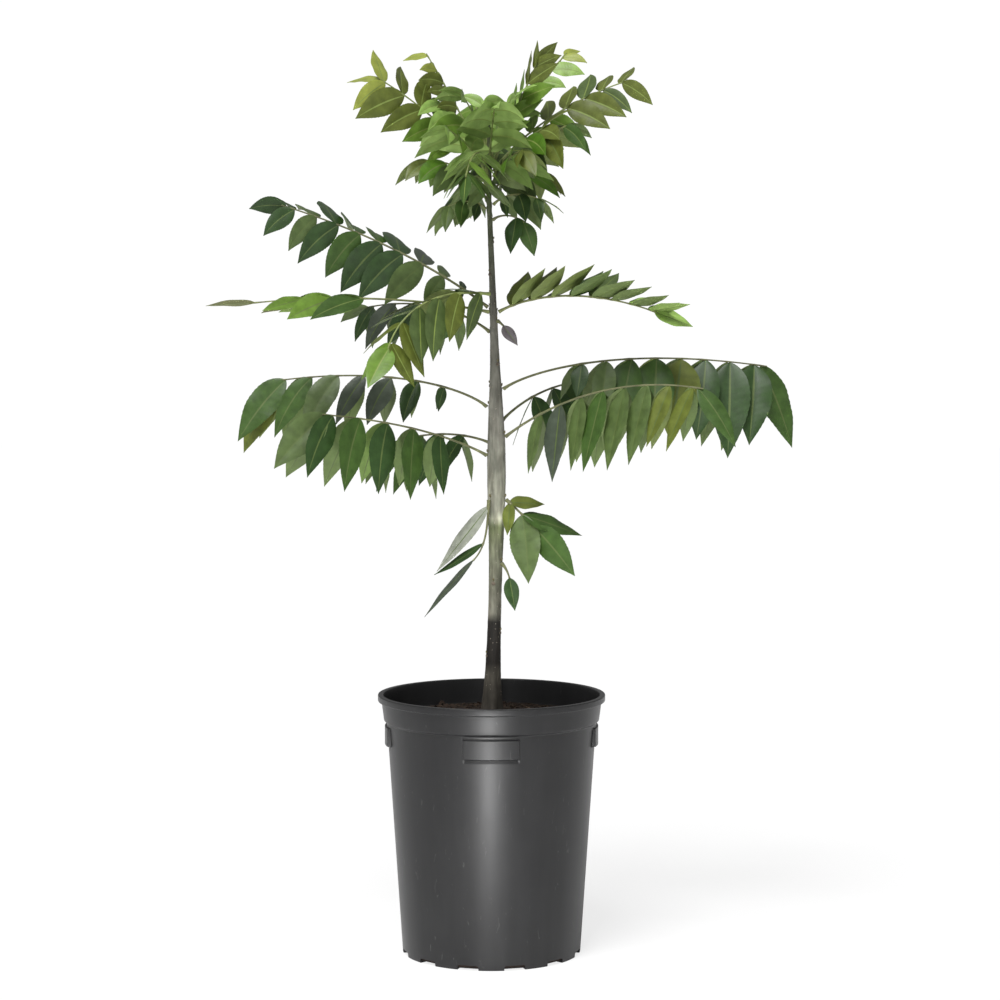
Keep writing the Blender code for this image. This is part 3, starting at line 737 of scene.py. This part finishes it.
def dress(tree, shader, color, pattern, roughness, bumps):
    """Links a colour, a roughness that varies with a pattern, and (value, strength, distance) bumps."""
    low, high = roughness
    found = {"Base Color": color}
    found["Roughness"] = add_node(tree, "MapRange", "Result", Value=pattern, To_Min=low, To_Max=high)
    below = {}
    for value, strength, distance in bumps:
        normal = add_node(tree, "Bump", "Normal", Height=value, Strength=strength, Distance=distance, **below)
        below = {"Normal": normal}
    for socket, value in {**found, **below}.items():
        tree.links.new(value, shader.inputs[socket])


def leaf_finish(name, color, roughness, mottle):
    """A leaf's skin: a plain colour, finely mottled, with a fine grain of veinlets."""
    tree, shader = new_material(name, roughness, LEAF_GLOSS)
    mottling = noise_of(tree, 95, 6.0)
    grain = noise_of(tree, 1400, 3.0, distortion=0.6)
    stops = [(0.3, scaled(color, 1 - mottle)), (0.7, scaled(color, 1 + mottle))]
    rough = (roughness - 0.08, roughness + 0.10)
    dress(tree, shader, ramp_of(tree, mottling, stops), mottling, rough, [(grain, 0.35, 0.0002)])


def plastic_finish():
    """Dark grey polyethylene, semi-matt, with flow marks down the wall and fine scuffs."""
    tree, shader = new_material("pot_plastic", 0.4, 0.33)
    clouds = noise_of(tree, 14, 6.0)
    flow = noise_of(tree, 60, 4.0, stretch=(1, 1, 0.05))
    scuffs = noise_of(tree, 210, 8.0, stretch=(1, 1, 0.25), distortion=1.2)
    peel = noise_of(tree, 900, 2.0)
    base = ramp_of(tree, clouds, [(0.3, POT_DARK), (0.7, POT_LIGHT)])
    marks = ramp_of(tree, flow, [(0.35, (0.86, 0.86, 0.86)), (0.65, (1.1, 1.1, 1.1))])
    rubbed = ramp_of(tree, scuffs, [(0.66, (0, 0, 0)), (0.74, SCUFF)])
    base = blend_of(tree, "ADD", blend_of(tree, "MULTIPLY", base, marks), rubbed)
    dress(tree, shader, base, clouds, (0.34, 0.46), [(flow, 0.06, 0.001), (peel, 0.08, 0.0002)])


def grain_finish(name, dark, light):
    """Something coarse and dull, between a dark and a light colour."""
    tree, shader = new_material(name, 0.9, 0.25)
    grains = noise_of(tree, 420, 8.0, distortion=0.4)
    base = ramp_of(tree, grains, [(0.35, dark), (0.68, light)])
    dress(tree, shader, base, grains, (0.75, 1.0), [(grains, 0.9, 0.0012)])


def bark_finish():
    """Young bark: darker inside the pot with painted shade, near black above the flare, grey-green above
    that, darker under the leaves with partly painted leaf shade, and green where it is new.
    """
    tree, shader = new_material("bark", 0.75, 0.3)
    place = add_node(tree, "TexCoord", "Object")
    height = add_node(tree, "SeparateXYZ", "Z", Vector=place)
    share = add_node(tree, "MapRange", "Result", Value=height, From_Min=TRUNK_BASE_Z, From_Max=TRUNK_TIP_Z)
    streaks = noise_of(tree, 260, 7.0, stretch=(1, 1, 0.12), distortion=0.3)
    # Dark blotches: partly the bark's own mottling, partly painted shade of the leaves.
    blotches_and_leaf_shade = noise_of(tree, 70, 5.0, stretch=(1, 1, 0.5))
    fine = noise_of(tree, 1500, 4.0)
    base = ramp_of(tree, share, [(trunk_share(z), color) for z, color in BARK_COLORS])
    lines = ramp_of(tree, streaks, [(0.30, (0.55, 0.53, 0.50)), (0.62, (1.12, 1.12, 1.1))])
    clouds = ramp_of(tree, blotches_and_leaf_shade, [(0.34, (0.55, 0.56, 0.53)), (0.64, (1.20, 1.18, 1.16))])
    base = blend_of(tree, "MULTIPLY", blend_of(tree, "MULTIPLY", base, lines), clouds)
    dress(tree, shader, base, streaks, (0.62, 0.85), [(streaks, 0.5, 0.0005), (fine, 0.3, 0.0002)])


def make_finishes():
    """Fills FINISHES with every finish by name."""
    plastic_finish()
    bark_finish()
    for name, (dark, light) in GRAINS.items():
        grain_finish(name, dark, light)
    for tint, color in TINTS.items():
        below = tuple(mixed(upper, pale, PALENESS) for upper, pale in zip(color, PALE))
        leaf_finish("leaf_" + tint, color, 0.42, 0.22)
        leaf_finish("under_" + tint, below, 0.62, 0.15)
    for green in RIB:
        leaf_finish("rib_" + green, RIB[green], 0.5, 0.12)
        leaf_finish("stalk_" + green, STALK[green], 0.5, 0.30)


# Pieces


def shade(obj, smooth_angle):
    obj.data.shade_smooth()
    obj.data.set_sharp_from_angle(angle=math.radians(smooth_angle))


def new_object(name, data, place=(0, 0, 0), turn=(0, 0, 0)):
    obj = bpy.data.objects.new(name, data)
    obj.location = place
    obj.rotation_euler = turn
    bpy.context.scene.collection.objects.link(obj)
    return obj


def make_piece(name, shapes, nodes=(), smooth_angle=50):
    """Joins shapes to one piece, which rides on the plant, and hides the solids it stands for.

    A shape is its points, its faces, and the finish of every face or a list with the finish of each.
    """
    points, faces, looks = [], [], []
    for own_points, own_faces, own_looks in shapes:
        start = len(points)
        points += own_points
        faces += [tuple(start + i for i in face) for face in own_faces]
        looks += [own_looks] * len(own_faces) if isinstance(own_looks, str) else own_looks
    mesh = bpy.data.meshes.new(name)
    mesh.from_pydata(points, [], faces)
    used = sorted(set(looks))
    for look in used:
        mesh.materials.append(FINISHES[look])
    mesh.polygons.foreach_set("material_index", [used.index(look) for look in looks])
    mesh.update()
    obj = new_object(name, mesh)
    shade(obj, smooth_angle)
    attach(obj, BODY)
    if nodes:
        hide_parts(*nodes)
    return obj


def round_faces(count, columns):
    """The faces of count points: a first one, rows that close on themselves, and a last one."""
    faces = [tuple(i + 1 for i in face) for face in grid_faces((count - 2) // columns, columns)]
    last = count - 1
    for i in range(columns):
        j = (i + 1) % columns
        faces += [(0, 1 + j, 1 + i), (last, last - columns + i, last - columns + j)]
    return faces


# Nursery pot


def wall_radius(z):
    return FOOT_RADIUS + WALL_TAPER * z


def rounded(corners):
    """A section whose corners are turned into short arcs."""
    found = [corners[0]]
    for before, corner, after in zip(corners, corners[1:], corners[2:]):
        here = Vector(corner)
        back, ahead = Vector(before) - here, Vector(after) - here
        first = here + back.normalized() * min(CORNER_RADIUS, back.length / 2)
        last = here + ahead.normalized() * min(CORNER_RADIUS, ahead.length / 2)
        for i in range(CORNER_STEPS + 1):
            share = i / CORNER_STEPS
            found.append(tuple(first.lerp(here, share).lerp(here.lerp(last, share), share)))
    found.append(corners[-1])
    return found


def divided(section):
    """A section with points added, closer together where the grip pads are."""
    found = [section[0]]
    for first, last in zip(section, section[1:]):
        start, end = Vector(first), Vector(last)
        count = max(1, math.ceil((end - start).length / WALL_ROW))
        for i in range(count):
            low, high = start.lerp(end, i / count), start.lerp(end, (i + 1) / count)
            near = high.y > PAD_BOTTOM - WALL_ROW and low.y < PAD_TOP + PAD_EDGE
            pieces = math.ceil((high - low).length / PAD_ROW) if near else 1
            found += [tuple(low.lerp(high, (j + 1) / pieces)) for j in range(pieces)]
    return found


def outer_section():
    lip_z = POT_HEIGHT - LIP_HEIGHT
    return rounded([
        (0, 0),
        (FOOT_RADIUS, 0),
        (wall_radius(COLLAR_Z), COLLAR_Z),
        (COLLAR_RADIUS, COLLAR_Z + COLLAR_STEP),
        (COLLAR_TOP_RADIUS, lip_z),
        (LIP_RADIUS, lip_z),
        (LIP_RADIUS, POT_HEIGHT),
        (COLLAR_TOP_RADIUS - WALL, POT_HEIGHT),
    ])[:-1]


def inner_section():
    return rounded([
        (LIP_RADIUS, POT_HEIGHT),
        (COLLAR_TOP_RADIUS - WALL, POT_HEIGHT),
        (COLLAR_RADIUS - WALL, COLLAR_Z + INNER_STEP),
        (wall_radius(COLLAR_Z) - WALL, COLLAR_Z),
        (wall_radius(FLOOR) - WALL, FLOOR),
        (0, FLOOR),
    ])[1:]


def eased(value):
    value = min(max(value, 0.0), 1.0)
    return value * value * (3 - 2 * value)


def pad_radius(radius, z, turn):
    """The outer radius where a grip pad stands out of the wall, with softened edges and a hollow below."""
    quarter = math.tau / PAD_COUNT
    away = abs((turn + quarter / 2) % quarter - quarter / 2)
    side = eased((PAD_HALF_ANGLE - away) * PAD_RADIUS / PAD_EDGE + 0.5)
    level = eased((z - PAD_BOTTOM) / PAD_EDGE) * eased((PAD_TOP - z) / PAD_EDGE)
    below = (PAD_BOTTOM - z) / PAD_HOLLOW_HEIGHT
    hollow = PAD_HOLLOW * (1 - below) if 0 <= below < 1 else 0.0
    return radius + side * ((PAD_RADIUS - radius) * level - hollow)


def pot_turns():
    """The angles of the pot's columns, evenly spaced and closer at the pads' edges."""
    turns = set(even_turns(POT_COLUMNS))
    for middle in even_turns(PAD_COUNT):
        for edge in (middle - PAD_HALF_ANGLE, middle + PAD_HALF_ANGLE):
            turns |= {(edge + math.radians(column)) % math.tau for column in PAD_EDGE_COLUMNS}
    ordered = sorted(turns)
    return [a for a, b in zip(ordered, ordered[1:] + [math.tau]) if b - a > LEAST_TURN]


def pot_shell():
    """The pot as one closed skin: outside, lip, inside and floor."""
    turns = pot_turns()
    outer, inner = divided(outer_section()), divided(inner_section())
    points = [(0, 0, 0)]
    for number, (radius, z) in enumerate(outer[1:] + inner[:-1]):
        padded = number < len(outer) - 1 and radius > FOOT_RADIUS
        points += [around(pad_radius(radius, z, turn) if padded else radius, turn, z) for turn in turns]
    points.append((0, 0, FLOOR))
    return points, round_faces(len(points), len(turns))


def slot_cutter(angle):
    """A box with rounded edges, set across the corner between wall and floor."""
    shape = bmesh.new()
    bmesh.ops.create_cube(shape, size=1)
    size = Vector((2 * SLOT_DEPTH, SLOT_WIDTH, 2 * SLOT_HEIGHT))
    for vert in shape.verts:
        vert.co *= size
    along = [edge for edge in shape.edges if abs(edge.verts[0].co.x - edge.verts[1].co.x) > WALL]
    bmesh.ops.bevel(shape, geom=along, offset=SLOT_BEVEL, segments=4, profile=0.5, affect="EDGES")
    mesh = bpy.data.meshes.new("slot")
    shape.to_mesh(mesh)
    shape.free()
    cutter = bpy.data.objects.new("slot", mesh)
    cutter.location = around(FOOT_RADIUS, angle)
    cutter.rotation_euler.z = angle
    return cutter


def cut(obj, cutters):
    """Takes the cutters out of obj, and removes them."""
    group = bpy.data.collections.new("cutters")
    bpy.context.scene.collection.children.link(group)
    for cutter in cutters:
        group.objects.link(cutter)
    difference = obj.modifiers.new("Slots", "BOOLEAN")
    difference.operation = "DIFFERENCE"
    difference.solver = "EXACT"
    difference.operand_type = "COLLECTION"
    difference.collection = group
    graph = bpy.context.evaluated_depsgraph_get()
    result = bpy.data.meshes.new_from_object(obj.evaluated_get(graph), depsgraph=graph)
    obj.modifiers.remove(difference)
    obj.data = result
    for cutter in cutters:
        bpy.data.objects.remove(cutter, do_unlink=True)
    bpy.data.collections.remove(group)


def make_pot():
    pot = make_piece("pot_shell", [(*pot_shell(), "pot_plastic")], ("pot",))
    cut(pot, [slot_cutter((i + 0.5) * math.tau / SLOT_COUNT) for i in range(SLOT_COUNT)])
    shade(pot, 40)


# Potting mix


def mix_top(radius, turn):
    """The height of the mix's lumpy top, which rises a little at the trunk."""
    level = mixed(MIX_EDGE_Z, MIX_SEAT_Z, 1 - radius / COLLAR_RADIUS)
    x, y, _ = around(radius, turn)
    heap = COLLAR_OF_MIX * math.exp(-((radius / COLLAR_SPREAD) ** 2))
    return level + MIX_LUMP * layered(MIX_LUMPS, x, y, 1) + heap


def mix_bed():
    """The mix: its lumpy top, and a plain skin down the wall and across the floor."""
    edge = COLLAR_RADIUS - WALL - MIX_CLEARANCE
    turns = even_turns(MIX_SPOKES)
    points = [(0, 0, mix_top(0, 0))]
    for number in range(1, MIX_RINGS + 1):
        radius = edge * number / MIX_RINGS
        points += [around(radius, turn, mix_top(radius, turn)) for turn in turns]
    for z in (COLLAR_Z, FLOOR + GAP):
        points += [around(wall_radius(z) - WALL - MIX_CLEARANCE, turn, z) for turn in turns]
    points.append((0, 0, FLOOR + GAP))
    return points, [tuple(reversed(face)) for face in round_faces(len(points), MIX_SPOKES)], "mix"


def knobbly(source, size):
    """A small stone-like body of twenty faces, its corners shifted by a seeded draw."""
    shape = bmesh.new()
    bmesh.ops.create_icosphere(shape, subdivisions=1, radius=0.5)
    points = [vert.co * Vector(size) * source.uniform(*KNOB_SHIFTS) for vert in shape.verts]
    faces = [tuple(v.index for v in face.verts) for face in shape.faces]
    shape.free()
    return points, faces


def chips():
    """Bark chips of three browns lie all over the mix, mostly flat."""
    source = random.Random(CHIP_SEED)
    reach = COLLAR_RADIUS - WALL - CHIP_LENGTHS[1] * CHIP_MARGIN
    for _ in range(CHIP_COUNT):
        length = mixed(*CHIP_LENGTHS, source.random() ** CHIP_CROWDING)
        width = length * source.uniform(*CHIP_WIDTHS)
        points, faces = knobbly(source, (length, width, width * source.uniform(*CHIP_DEPTHS)))
        radius = reach * math.sqrt(source.uniform(CHIP_FREE_MIDDLE, 1.0))
        turn = source.uniform(0, math.tau)
        tilt = Quaternion((1, 0, 0), source.gauss(0, CHIP_TILT))
        tilt = tilt @ Quaternion((0, 1, 0), source.gauss(0, CHIP_TILT))
        spin = Quaternion((0, 0, 1), source.uniform(0, math.tau))
        place = Vector(around(radius, turn, mix_top(radius, turn) + width * CHIP_LIFT))
        look = source.choices(tuple(CHIP_SHARES), tuple(CHIP_SHARES.values()))[0]
        yield [place + spin @ tilt @ point for point in points], faces, look


# Trunk


def bark_lift(z, turn, cushions):
    """How far the bark stands out: ridges and root lobes low down, and a cushion under each leaf."""
    x, y, _ = around(1, turn)
    lobes = math.cos(ROOT_LOBES * turn + 1.0) * math.exp(-(z - TRUNK_BASE_Z) / LOBE_HEIGHT)
    lift = RIDGE_DEPTH * (RIDGE_FADE - trunk_share(z)) * layered(RIDGES, x, y, z) + LOBE_DEPTH * lobes
    for height, heading, size in cushions:
        if abs(z - height) < 3 * CUSHION_SPREAD:
            away = (turn - heading + math.pi) % math.tau - math.pi
            reach = (away * trunk_radius(z)) ** 2 + (z - height) ** 2
            lift += size * math.exp(-reach / CUSHION_SPREAD ** 2)
    return lift


def trunk_bark(leaves):
    """The trunk's skin from the mix to its tip."""
    cushions = []
    for leaf in leaves:
        size = CUSHION_HEIGHT * min(1, leaf.thickness / STALK_THICKNESS)
        cushions.append((leaf.height - CUSHION_DROP, math.radians(leaf.heading) % math.tau, size))
    rows = round((TRUNK_TIP_Z - TRUNK_BASE_Z) / BARK_STEP)
    points = []
    for row in range(rows + 1):
        z = mixed(TRUNK_BASE_Z, TRUNK_TIP_Z, row / rows)
        for turn in even_turns(BARK_SIDES):
            out = Vector(around(trunk_radius(z) + bark_lift(z, turn, cushions), turn))
            points.append(trunk_axis(z) + out)
    return points, tube_faces(rows + 1, BARK_SIDES), "bark"


def ovoid(middle, along, side, length, width, depth, sides=10, rings=7, sharp=1.0):
    """A closed egg with its length along one way and its width beside it, pointed where sharp is over 1."""
    out = along.cross(side).normalized()
    points = [middle - along * length / 2]
    for i in range(1, rings):
        share = i / rings
        swell = math.sin(math.pi * share ** sharp)
        for turn in even_turns(sides):
            across = side * (math.cos(turn) * width / 2) + out * (math.sin(turn) * depth / 2)
            points.append(middle + along * length * (share - 0.5) + across * swell)
    points.append(middle + along * length / 2)
    return points, round_faces(len(points), sides)


def on_trunk(z, heading, proud=0.0):
    """A point on the bark, with the ways out of it and round it."""
    outward = Vector(around(1, heading))
    return trunk_axis(z) + outward * (trunk_radius(z) + proud), outward, Vector((-outward.y, outward.x, 0))


def pores():
    """Pale pores on the bark, longer than wide, which thin out towards the green tip."""
    source = random.Random(PORE_SEED)
    for _ in range(PORE_COUNT):
        z = TRUNK_BASE_Z + PORE_START + (PORE_END_Z - TRUNK_BASE_Z) * source.random() ** PORE_CROWDING
        place, _, side = on_trunk(z, source.uniform(0, math.tau))
        length, width = source.uniform(*PORE_LENGTHS), source.uniform(*PORE_WIDTHS)
        yield *ovoid(place, -DOWN, side, length, width, PORE_DEPTH, sides=6, rings=5), "pore"


def bud(z, heading, proud, lean, size):
    """An egg of a length, width and depth that leans off the bark."""
    place, outward, side = on_trunk(z, heading, proud)
    return *ovoid(place, (outward * lean - DOWN).normalized(), side, *size, sharp=BUD_SHARP), "bud"


def buds(leaves):
    """A bud above each leaf's foot, old leaf scars with their buds lower down, and the bud at the tip."""
    for leaf in leaves:
        size = BUD_LENGTH * min(1.0, trunk_radius(leaf.height) / BUD_FULL_RADIUS)
        heading = math.radians(leaf.heading)
        sizes = scaled(BUD_SHAPE, size)
        yield bud(leaf.height + size * BUD_RISE, heading, size * BUD_PROUD, BUD_LEAN, sizes)
    for i, z in enumerate(SCAR_HEIGHTS):
        heading = math.radians(SCAR_HEADING + i * GOLDEN_ANGLE)
        place, _, side = on_trunk(z, heading)
        yield *ovoid(place, -DOWN, side, *SCAR_SIZE, sharp=SCAR_SHARP), "scar"
        yield bud(z + SCAR_BUD_RISE, heading, SCAR_BUD_PROUD, SCAR_BUD_LEAN, SCAR_BUD_SIZE)
    tip = trunk_axis(TRUNK_TIP_Z) - DOWN * TIP_BUD_RISE
    yield *ovoid(tip, -DOWN, Vector((1, 0, 0)), *TIP_BUD_SIZE, sharp=BUD_SHARP), "bud"


# Leaf stalks


def stalk_points(leaf):
    """A leaf's petiole and rachis: round, grooved above, swollen at its foot and where leaflets stand."""
    places = {round(leaf.length * share, 5) for _, _, share in leaflet_places(leaf)}
    points = []
    for step, (point, _, side, normal) in enumerate(rachis_points(leaf)):
        share = step / RACHIS_STEPS
        nearest = min(abs(share * leaf.length - place) for place in places)
        radius = rachis_radius(leaf, share) * (1 + NODE_SWELL * math.exp(-((nearest / NODE_SPAN) ** 2)))
        points += ring(point, normal, side, radius, STALK_SIDES, STALK_GROOVE)
    return points


def stalks(leaves):
    for leaf in leaves:
        yield stalk_points(leaf), tube_faces(RACHIS_STEPS + 1, STALK_SIDES), "stalk_" + leaf.green


# Fine leaflets


def leaflet_points(blade, source):
    """Upper side row by row, then the lower side without its margins, then the tip."""
    frames = midrib(blade, STATIONS)
    spine, _, across, normal = (np.array(rows)[:, None, :] for rows in zip(*frames[:-1]))
    shares = (np.arange(STATIONS) / STATIONS)[:, None]
    place = np.array(COLUMNS)[None, :]
    away = np.abs(place)
    half = np.maximum(blade.width / 2 * outline(shares), NECK_HALF_WIDTH)
    window = np.sin(np.pi * np.clip((shares - PLAIN_FOOT) / TOOTHED_SPAN, 0, 1)) ** 0.5
    saw = (shares * TEETH + source.random()) % 1.0 - 0.5
    teeth = 1 + TOOTH_DEPTH * saw * window * (away == 1.0)
    lopside = 1 + source.uniform(-LOPSIDE, LOPSIDE) * np.sign(place) * (1 - shares)
    beside = place * half * teeth * lopside
    fold = source.uniform(*FOLDS)
    wave = np.sin(shares * source.uniform(*WAVES) + source.uniform(0, 6)) * WAVE_HEIGHT * away ** 2
    lift = half * (fold * away - ARCH * away ** 2 + wave * window)
    veins = np.cos(math.tau * VEINS * (shares - VEIN_SLANT * away)) * np.sin(np.pi * away) * window
    lift = lift + VEIN_RELIEF * veins
    body = LEAFLET_THICKNESS / 2 * (1 - away ** 4)
    rib = (away < MIDRIB_REACH) * (1 - MIDRIB_TAPER * shares)
    upper = spine + across * beside[..., None] + normal * (lift + body - MIDRIB_GROOVE * rib)[..., None]
    lower = spine + across * beside[..., None] + normal * (lift - body - MIDRIB_KEEL * rib)[..., None]
    points = np.concatenate([upper.reshape(-1, 3), lower[:, 1:-1].reshape(-1, 3), [frames[-1][0]]])
    return points.tolist()


def leaflet_faces():
    """The faces that every leaflet has, and whether each is on its upper side, lower side or rib."""
    columns = len(COLUMNS)
    inner = columns - 2
    lower_start = STATIONS * columns
    tip = lower_start + STATIONS * inner

    def below(row, column):
        if column in (0, columns - 1):
            return row * columns + column
        return lower_start + row * inner + column - 1

    faces, kinds = [], []
    rib = columns // 2 - 1
    for row in range(STATIONS):
        for i in range(columns - 1):
            near = row * columns + i
            far = near + columns
            last = row == STATIONS - 1
            over, under = (near, near + 1), (below(row, i + 1), below(row, i))
            over += (tip,) if last else (far + 1, far)
            under += (tip,) if last else (below(row + 1, i), below(row + 1, i + 1))
            faces += [over, under]
            kinds += ["rib", "rib"] if i == rib else ["leaf", "under"]
    faces.append(tuple([*range(columns - 1, -1, -1), *[below(0, i) for i in range(1, columns - 1)]]))
    kinds.append("under")
    return faces, kinds


def tints_of(leaf):
    return (leaf.tints or next(tints for top, tints in ROSETTE_TINTS if leaf.height < top)).split()


def make_leaflets(leaves, grown):
    """Leaflets joined into pieces of one green each, whole leaves at a time, with their tints dealt out."""
    faces, kinds = leaflet_faces()
    each = sum(len(face) - 2 for face in faces)
    for green in RIB:
        shapes, names, number = [], [], 1
        chosen = [(leaf, blades) for leaf, blades in zip(leaves, grown) if leaf.green == green]
        for i, (leaf, blades) in enumerate(chosen):
            source = random.Random(FINE_SEED + leaf.seed)
            tints = tints_of(leaf)
            for order, blade in enumerate(blades):
                pick = (order + source.uniform(0, TINT_STRAY)) / (len(blades) + 0.5) * len(tints)
                tint = tints[min(int(pick), len(tints) - 1)]
                looks = {"leaf": "leaf_" + tint, "rib": "rib_" + green, "under": "under_" + tint}
                shapes.append((leaflet_points(blade, source), faces, [looks[kind] for kind in kinds]))
            names.append(leaf.name)
            if i == len(chosen) - 1 or (len(shapes) + MOST_LEAFLETS) * each > MOST_TRIANGLES:
                make_piece(f"leaflets_{green}_{number}", shapes, names, 55)
                shapes, names, number = [], [], number + 1


# Stage


def camera_share(tree, low, high):
    """One value for what the camera sees itself, after another for all other light."""
    seen = add_node(tree, "LightPath", "Is Camera Ray")
    return add_node(tree, "MapRange", "Result", Value=seen, To_Min=low, To_Max=high)


def make_floor():
    """A plain white floor, which glows a little for the camera."""
    half = FLOOR_SIZE / 2
    mesh = bpy.data.meshes.new("floor")
    corners = [(-half, -half, 0), (half, -half, 0), (half, half, 0), (-half, half, 0)]
    mesh.from_pydata(corners, [], [(0, 1, 2, 3)])
    tree, shader = new_material("floor", 0.9, 0.5)
    shader.inputs["Base Color"].default_value = (0.9, 0.9, 0.9, 1)
    glow = add_node(tree, "Emission", "Emission")
    mix = tree.nodes.new("ShaderNodeMixShader")
    for value, socket in zip((camera_share(tree, 0.0, FLOOR_GLOW), shader.outputs["BSDF"], glow), mix.inputs):
        tree.links.new(value, socket)
    tree.links.new(mix.outputs["Shader"], tree.nodes["Material Output"].inputs["Surface"])
    mesh.materials.append(FINISHES["floor"])
    new_object("floor", mesh)


def make_light():
    """A white surround, and soft light from the front, left and above."""
    world = bpy.data.worlds.new("surround")
    world.use_nodes = True
    background = world.node_tree.nodes["Background"]
    background.inputs["Color"].default_value = (1, 1, 1, 1)
    strength = camera_share(world.node_tree, SURROUND_FILL, SURROUND_SEEN)
    world.node_tree.links.new(strength, background.inputs["Strength"])
    bpy.context.scene.world = world
    sun = bpy.data.lights.new("key", "SUN")
    sun.energy = KEY_STRENGTH
    sun.angle = math.radians(KEY_SOFTNESS)
    new_object("key", sun, turn=Vector(KEY_FROM).to_track_quat("Z", "Y").to_euler())
    for name, place, target, width, height, power in LIGHTS:
        light = bpy.data.lights.new(name, "AREA")
        light.shape = "RECTANGLE"
        light.size, light.size_y, light.energy = width, height, power
        turn = (Vector(target) - Vector(place)).to_track_quat("-Z", "Y").to_euler()
        new_object(name, light, place, turn).visible_camera = False
    bpy.context.scene.view_settings.view_transform = "Standard"


def make_camera():
    camera = bpy.data.cameras.new("camera")
    camera.sensor_width = 36
    camera.lens = CAMERA_FOCAL_PX / PHOTO_SIZE * camera.sensor_width
    turn = (math.radians(90 - CAMERA_PITCH), 0, 0)
    bpy.context.scene.camera = new_object("camera", camera, CAMERA_PLACE, turn)


def solid_tree(name):
    """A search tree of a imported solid."""
    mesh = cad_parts[name].data
    return BVHTree.FromPolygons([v.co for v in mesh.vertices], [tuple(p.vertices) for p in mesh.polygons])


def main():
    leaves, trees = spread_apart([*LEAVES, *rosette_leaves()])
    names = [leaf.name for leaf in leaves]
    solids = [("pot", solid_tree("pot")), ("trunk", solid_tree("trunk")), *zip(names, trees)]
    obstacles = [(name, tree, tree) for name, tree in solids]
    grown = [grow_leaflets(leaf, obstacles) for leaf in leaves]
    make_finishes()
    make_pot()
    make_piece("mix_bed", [mix_bed()], ("potting_mix",), 180)
    make_piece("bark_chips", chips(), (), 25)
    make_piece("trunk_bark", [trunk_bark(leaves)], ("trunk",), 60)
    make_piece("bark_pores", pores(), (), 60)
    make_piece("buds", buds(leaves))
    make_piece("leaf_stalks", stalks(leaves), names, 60)
    make_leaflets(leaves, grown)
    make_floor()
    make_light()
    make_camera()


main()
